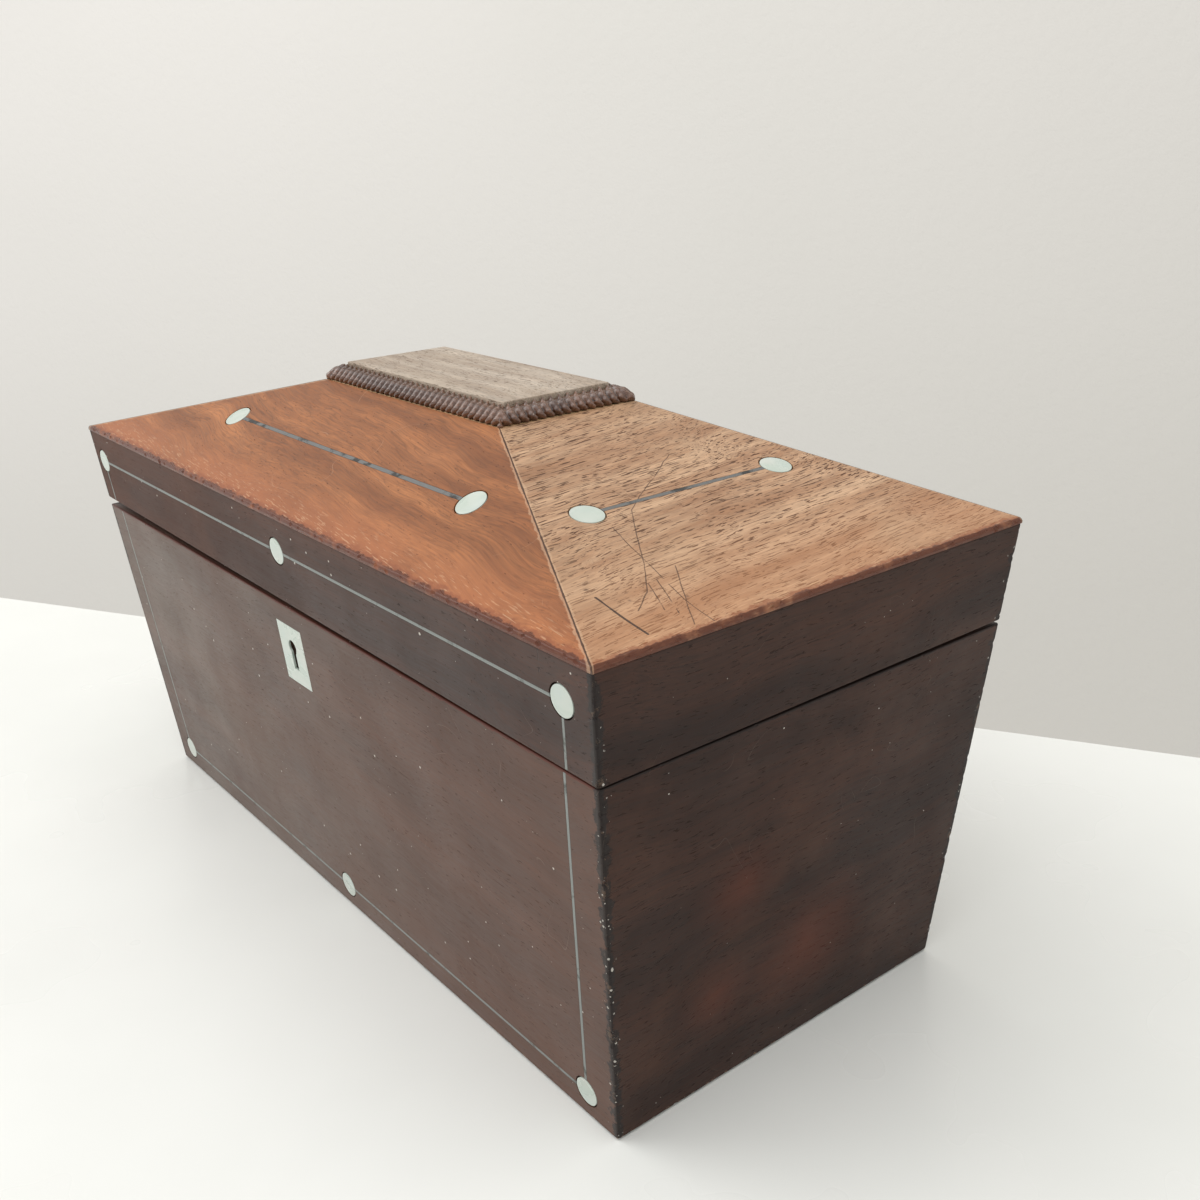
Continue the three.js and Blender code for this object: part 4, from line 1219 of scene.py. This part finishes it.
END_SCRATCHES = [
    [(104, -31, 149.8), (141, -38, 141), (151, -38, 138.6)],
    [(129, -30, 143.8), (139.5, -36.5, 141.3), (150, -43, 138.8)],
    [(83, 9, 154.8), (103, -21.5, 150), (125, -36, 144.8), (135, -43.5, 142.4), (140, -50.5, 141.2)],
    [(132.5, -41, 143), (142.5, -45, 140.6)],
    [(132, -38, 143.1), (145, -43, 140)],
]
END_GOUGE = [[(131.6, -55.8, 143.2), (148, -54.7, 139.3)]]
END_DENTS = [(135, -42.5, 142.4), (136, -49.5, 142.2), (140.5, -36.5, 141.1), (128, -55.5, 144)]


def faded_slope(side):
    """The sun-faded roof: orange on the front, paler and full of open pores on the ends."""
    facing = side in ("front", "back")
    if facing:
        wood = start_wood(f"{side} faded rosewood", 7, SUNNY_DARK, SUNNY_LIGHT, SUNNY_PORE, cover=0.3,
                          pore_length=1.6 * MM, figure_width=8 * MM, smoothness=0.38, pore_depth=0.8,
                          rings=0.45)
    else:
        wood = start_wood(f"{side} faded rosewood", 84, BLEACHED_DARK, BLEACHED_LIGHT, BLEACHED_PORE,
                          cover=1.12, pore_length=5 * MM, figure_width=7 * MM, smoothness=0.42,
                          pore_depth=0.95, rings=0.25)
    tree = wood.tree
    shell = use_group(tree, SHELL, {"Vector": wood.place})
    rise = calculate(tree, "MAXIMUM", minus(tree, 0.0, shell.outputs["Below Eaves"]), 0.0)
    glow = between(tree, rise, (9 if facing else 10) * MM, 0.5 * MM)
    wood.paint(times(tree, glow, wood.noise(16, 3, 0.5, 0.15, 0.6)),
               (0.36, 0.12, 0.045) if facing else (0.42, 0.19, 0.085), 0.75 if facing else 0.55)
    wood.paint(wood.noise(20, 3, 0.5, 0.5, 0.75), (0.42, 0.17, 0.07) if facing else (0.5, 0.33, 0.2), 0.3)
    wood.paint(wood.noise(120, 4, 0.7, 0.4, 0.75, wood.place), (0.2, 0.075, 0.032), 0.16)
    width = 0.62 * MM if facing else 0.3 * MM
    wood.paint(band(wood, rise, width * 2.0, 0.5), (0.22, 0.06, 0.022), 0.6)
    # Painted highlight: light grain streaks just above the eave, fading out up the slope.
    highlight_streaks = wood.noise(1, 2, 0.5, 0.58, 0.66, stretched(tree, wood.along, (170, 2400, 2400)))
    lights = times(tree, between(tree, rise, width * 9, width * 1.5), highlight_streaks)
    wood.paint(lights, (0.62, 0.38, 0.22), 0.4)
    worn = times(tree, band(wood, rise, width, 0.7), wood.noise(150, 3, 0.6, 0.2, 0.5))
    wood.paint(worn, WORN_EDGE, 0.9, rough=-0.15)
    place = add_node(tree, "ShaderNodeSeparateXYZ", {"Vector": wood.place})
    slope = (EAVE[0] - CROWN[0]) / (EAVE[1] - CROWN[1])
    hip = absolute(tree, add_node(tree, "ShaderNodeMath", {
        0: absolute(tree, place.outputs["Y"]), 1: slope,
        2: minus(tree, CROWN[0] - slope * CROWN[1],
                 absolute(tree, place.outputs["X"]))},
                                  operation="MULTIPLY_ADD").outputs[0])
    wood.paint(band(wood, hip, 1.9 * MM, 0.6), (0.58, 0.38, 0.24), 0.4)
    wood.paint(band(wood, hip, 0.6 * MM, 0.45), (0.06, 0.025, 0.012), 0.95)
    nicks = flecks(wood, 5 * MM, 0.10, 0.14)
    wood.paint(nicks, (0.09, 0.035, 0.017), 0.8, height=-1.2)
    wood.paint(hairlines(wood, 26, 0.5), (0.62, 0.42, 0.27), 0.3)
    if side == "right":
        fine = scratches(wood, END_SCRATCHES, 0.34 * MM)
        wood.paint(fine, (0.07, 0.035, 0.02), 0.75, height=-1.2)
        gouge = scratches(wood, END_GOUGE, 0.7 * MM)
        wood.paint(gouge, (0.035, 0.018, 0.012), 0.9, height=-2)
        for dent in END_DENTS:
            wood.paint(soft_spot(wood, dent, 0.9), (0.05, 0.025, 0.015), 0.9, height=-1.5)
    return wood.finish(0.08 * MM, Coat_Weight=0.05, Coat_Roughness=0.35, Specular_IOR_Level=0.3)


def bleached_top():
    wood = start_wood("faded top", 0, (0.30, 0.215, 0.15), (0.50, 0.415, 0.33), (0.12, 0.07, 0.04),
                      cover=0.9, pore_length=3 * MM, figure_width=8 * MM, smoothness=0.45)
    wood.paint(wood.noise(30, 4, 0.6, 0.45, 0.75), (0.56, 0.46, 0.35), 0.4)
    wood.paint(flecks(wood, 5 * MM, 0.09, 0.2), (0.1, 0.05, 0.03), 0.7)
    return wood.finish(0.1 * MM, Coat_Weight=0.1, Coat_Roughness=0.4)


def carved_moulding():
    """Dark polish that has gathered in the carving, with the grooves painted near black as painted shade
    too, rubbed through on the high places.
    """
    wood = start_wood("carved rosewood", 0, (0.072, 0.028, 0.015), (0.175, 0.078, 0.042), POLISH_PORE,
                      cover=0.5, pore_length=2 * MM, figure_width=6 * MM, smoothness=0.22)
    shape = add_node(wood.tree, "ShaderNodeNewGeometry").outputs["Pointiness"]
    # Painted shade in the grooves between the lobes, found by their hollowness, on top of the gathered dark
    # polish.
    wood.paint(between(wood.tree, shape, 0.5, 0.44), BLACK_WAX_AND_SHADE, 0.92)
    wood.paint(between(wood.tree, shape, 0.53, 0.6), (0.25, 0.13, 0.075), 0.55)
    wood.paint(flecks(wood, 2.5 * MM, 0.1, 0.3), DUST, 0.35)
    return wood.finish(0.06 * MM, Coat_Weight=0.7, Coat_Roughness=0.14)


def plain_wood(name, dark, light, pore, turn=0.0, **sockets):
    wood = start_wood(name, turn, dark, light, pore, cover=0.6, pore_length=4 * MM,
                      figure_width=10 * MM, smoothness=0.42)
    wood.paint(wood.noise(45, 4, 0.6, 0.55, 0.8, wood.place), tuple(c * 0.6 for c in dark), 0.4)
    wood.paint(flecks(wood, 4 * MM, 0.08, 0.25), tuple(c * 0.4 for c in dark), 0.5)
    return wood.finish(0.08 * MM, **sockets)


def pearl():
    """Nacre: greenish white with soft silk bands that drift to pink and blue."""
    shell = Finish("mother of pearl")
    tree = shell.tree
    silk = noise(tree, stretched(tree, shell.place, (110, 70, 190)), 1, 3, 0.5, 0.8)
    shell.color = blend_colors(tree, between(tree, silk, 0.35, 0.65), (0.43, 0.50, 0.43),
                               (0.51, 0.55, 0.49))
    shell.paint(shell.noise(110, 2, 0.5, 0.5, 0.72), (0.54, 0.49, 0.44), 0.25)
    shell.paint(shell.noise(75, 2, 0.5, 0.52, 0.75), (0.38, 0.49, 0.48), 0.25)
    shell.paint(hairlines(shell, 90, 0.5), (0.40, 0.42, 0.36), 0.12)
    shell.paint(flecks(shell, 2.5 * MM, 0.06, 0.12), (0.3, 0.27, 0.2), 0.4)
    shell.rough = between(tree, silk, 0.3, 0.7, 0.22, 0.42)
    shell.raise_by(silk, 0.3)
    return shell.finish(0.05 * MM, Coat_Weight=0.6, Coat_Roughness=0.12, Specular_IOR_Level=0.6)


def metal(name, color, tarnish, roughness, polish_scale=300, cover=0.5, metallic=1.0):
    """Old metal: brushed, spotted with tarnish, finely scratched."""
    made = Finish(name)
    tree = made.tree
    brushed = noise(tree, stretched(tree, made.place, (polish_scale, polish_scale * 9, polish_scale * 9)),
                    1, 3, 0.6)
    made.color = blend_colors(tree, between(tree, brushed, 0.3, 0.7), tuple(c * 0.86 for c in color), color)
    spots = made.noise(190, 5, 0.65, 0.72 - cover * 0.3, 0.8 - cover * 0.2)
    made.paint(spots, tarnish, 0.8)
    made.rough = between(tree, brushed, 0.3, 0.7, roughness, roughness + 0.1)
    made.roughen(spots, 0.25)
    lines = hairlines(made, 120, 0.55)
    made.paint(lines, tuple(c * 0.5 for c in color), 0.4)
    made.raise_by(brushed, 0.15)
    made.raise_by(lines, -0.6)
    return made.finish(0.04 * MM, Metallic=metallic)


def bone():
    made = Finish("turned bone")
    tree = made.tree
    canals = noise(tree, stretched(tree, made.place, (900, 900, 120)), 1, 3, 0.6)
    made.color = blend_colors(tree, between(tree, canals, 0.35, 0.65), (0.60, 0.50, 0.34),
                              (0.76, 0.69, 0.54))
    made.paint(flecks(made, 0.9 * MM, 0.12, 0.35), (0.22, 0.14, 0.07), 0.6)
    made.rough = between(tree, canals, 0.3, 0.7, 0.3, 0.45)
    made.raise_by(canals, 0.3)
    return made.finish(0.05 * MM, Coat_Weight=0.4)


def baize():
    """Worn green wool cloth with a short nap."""
    made = Finish("baize")
    tree = made.tree
    nap = noise(tree, made.place, 1800, 4, 0.7)
    made.color = blend_colors(tree, between(tree, nap, 0.3, 0.7), (0.012, 0.05, 0.022), (0.04, 0.13, 0.06))
    made.paint(made.noise(25, 5, 0.65, 0.5, 0.75), (0.09, 0.12, 0.07), 0.5)
    made.rough = between(tree, nap, 0.3, 0.7, 0.85, 1.0)
    made.raise_by(nap, 1.5)
    return made.finish(0.15 * MM, Sheen_Weight=0.4)


POLISHED = {side: polished_side(side) for side in SIDES}
FADED = {side: faded_slope(side) for side in SIDES}
TOP = bleached_top()
CARVED = carved_moulding()
LIDS = plain_wood("inner rosewood", (0.10, 0.035, 0.02), (0.24, 0.09, 0.045), (0.02, 0.01, 0.006),
                  Coat_Weight=0.3, Coat_Roughness=0.2)
MAHOGANY_TONES = ((0.13, 0.045, 0.022), (0.27, 0.105, 0.05), (0.05, 0.02, 0.01))
MAHOGANY = plain_wood("mahogany", *MAHOGANY_TONES)
MAHOGANY_ACROSS = plain_wood("mahogany across", *MAHOGANY_TONES, 90)
PINE = plain_wood("pine", (0.42, 0.25, 0.12), (0.60, 0.42, 0.23), (0.24, 0.12, 0.05))
PEARL = pearl()
PEWTER = metal("pewter string", (0.25, 0.265, 0.25), (0.09, 0.09, 0.08), 0.42, 500, 0.55, 0.4)
DULL_PEWTER = metal("dull pewter string", (0.17, 0.17, 0.165), (0.035, 0.033, 0.03), 0.5, 400, 0.75, 0.4)
LEAD = metal("tea lead", (0.30, 0.31, 0.32), (0.13, 0.13, 0.12), 0.5, 130, 0.7, 0.85)
BRASS = metal("old brass", (0.55, 0.40, 0.18), (0.16, 0.09, 0.03), 0.3, 260, 0.6)
STEEL = metal("old steel", (0.36, 0.35, 0.34), (0.10, 0.05, 0.03), 0.35, 300, 0.6)
BONE = bone()
BAIZE = baize()


# ---------- Putting it together ----------


make_base_boards(POLISHED)
make_lid_walls(POLISHED)
make_roof(FADED)
make_top_panel(TOP)
lobe_pattern = make_lobe()
for side in SIDES:
    make_moulding(side, lobe_pattern, CARVED)
discard(lobe_pattern)
for node in sorted(NODES):
    if node.endswith("_roundel"):
        make_roundel(node, body_of(NODES[node])[0], PEARL)
make_escutcheon(PEARL)
add_screws(BRASS)
for side in ENDS:
    make_knob(side, BONE)
    make_tea_lid(side, LIDS)

# Carried-over nodes, with how far their edges are eased in mm.
KEPT = [
    (0.0, PEWTER, ["base_string", "lid_string"]),
    (0.0, DULL_PEWTER, [f"{side}_slope_string" for side in ("front", "left", "right")]),
    (0.0, BAIZE, ["underside_baize"]),
    (0.2, STEEL, ["lock_case", "lock_bolt"] + [f"{side}_hinge_pin" for side in ENDS]),
    (0.2, BRASS, ["lock_plate", "link_plate"]
     + [f"{side}_hinge_{leaf}_leaf" for side in ENDS for leaf in ("lower", "upper")]),
    (0.2, LEAD, [f"{side}_tea_liner" for side in ENDS]),
    (0.35, MAHOGANY_ACROSS, [f"{side}_partition" for side in ENDS]),
    (0.35, MAHOGANY, ["bowl_board", "lid_ceiling_board"]),
    (0.35, PINE, ["bottom_board", "crown_board"]),
]
for easing, material, kept in KEPT:
    for node in kept:
        ease_edges(node, easing * MM, material)


# ---------- Floor, backdrop and light ----------

TABLE_TURN = math.radians(29.9)
TABLE_EDGE = 142.1 * MM
TABLE_LENGTH = 3.2
TABLE_DEPTH = 2.4
TABLE_THICKNESS = 0.04
WALL_DISTANCE = 1500 * MM
WALL_SIZE = 9
DAYLIGHT = (0.99, 1.0, 1.0)
ROOM_LIGHT = 0.94
WINDOW_POWER = 20
CEILING_POWER = 9
LIGHT_SIZE = 1.6
LIGHT_AIM = Vector((0, 0, 60))
AWAY = Vector((-math.sin(TABLE_TURN), math.cos(TABLE_TURN), 0))


def make_table():
    """A pale table top, whose far edge runs just behind the box."""
    table = cube("table", (-TABLE_LENGTH / 2, -TABLE_DEPTH, -TABLE_THICKNESS), (TABLE_LENGTH / 2, 0, 0))
    edit(table)
    pick(table, "EDGE", at_height(0))
    bpy.ops.mesh.bevel(offset=0.8 * MM, segments=3, affect="EDGES")
    leave()
    smooth(table)
    table.data.transform(Matrix.Translation(AWAY * TABLE_EDGE) @ Matrix.Rotation(TABLE_TURN, 4, "Z"))
    made = Finish("white table")
    smear = made.noise(5, 4, 0.6)
    made.color = blend_colors(made.tree, smear, (0.77, 0.77, 0.735), (0.81, 0.81, 0.775))
    made.rough = between(made.tree, smear, 0.0, 1.0, 0.22, 0.34)
    table.data.materials.append(made.finish(Specular_IOR_Level=0.4))


def make_backdrop():
    """A pale wall well behind, clear of the opened lid."""
    clear_selection()
    bpy.ops.mesh.primitive_plane_add(size=WALL_SIZE)
    wall = named(bpy.context.object, "backdrop")
    stand = (-AWAY).to_track_quat("Z", "Y").to_matrix().to_4x4()
    wall.data.transform(Matrix.Translation(AWAY * WALL_DISTANCE) @ stand)
    made = Finish("painted wall")
    tree = made.tree
    tone = made.noise(0.9, 3, 0.5)
    made.color = blend_colors(tree, tone, (0.70, 0.675, 0.63), (0.74, 0.71, 0.67))
    side = add_node(tree, "ShaderNodeSeparateXYZ", {"Vector": made.place})
    # Painted shade: the wall is painted darker towards its lower right.
    shade_to_low_right = minus(tree, side.outputs["X"], times(tree, side.outputs["Z"], 1.8))
    made.paint(between(tree, shade_to_low_right, -2.7, 0.2, 0.0, 1.0, False), (0.575, 0.55, 0.505), 1.0)
    made.rough = between(tree, tone, 0.0, 1.0, 0.7, 0.8)
    made.raise_by(made.noise(60, 4, 0.65), 0.8)
    wall.data.materials.append(made.finish(0.5 * MM))


def add_area_light(name, place, power, color):
    """A square light at a place in mm, turned to the middle of the box."""
    data = bpy.data.lights.new(name, "AREA")
    data.shape = "RECTANGLE"
    data.size = data.size_y = LIGHT_SIZE
    data.energy = power
    data.color = color
    light = bpy.data.objects.new(name, data)
    bpy.context.scene.collection.objects.link(light)
    light.location = Vector(place) * MM
    light.rotation_mode = "QUATERNION"
    light.rotation_quaternion = ((Vector(place) - LIGHT_AIM) * MM).to_track_quat("Z", "Y")


def light_scene():
    world = bpy.data.worlds.new("studio")
    world.use_nodes = True
    background = world.node_tree.nodes["Background"]
    background.inputs["Color"].default_value = (*DAYLIGHT, 1)
    background.inputs["Strength"].default_value = ROOM_LIGHT
    bpy.context.scene.world = world
    add_area_light("window", (-1500, -1300, 1700), WINDOW_POWER, DAYLIGHT)
    add_area_light("ceiling", (100, -300, 1500), CEILING_POWER, (1, 1, 1))
    bpy.context.scene.view_settings.view_transform = "Standard"


make_table()
make_backdrop()
light_scene()
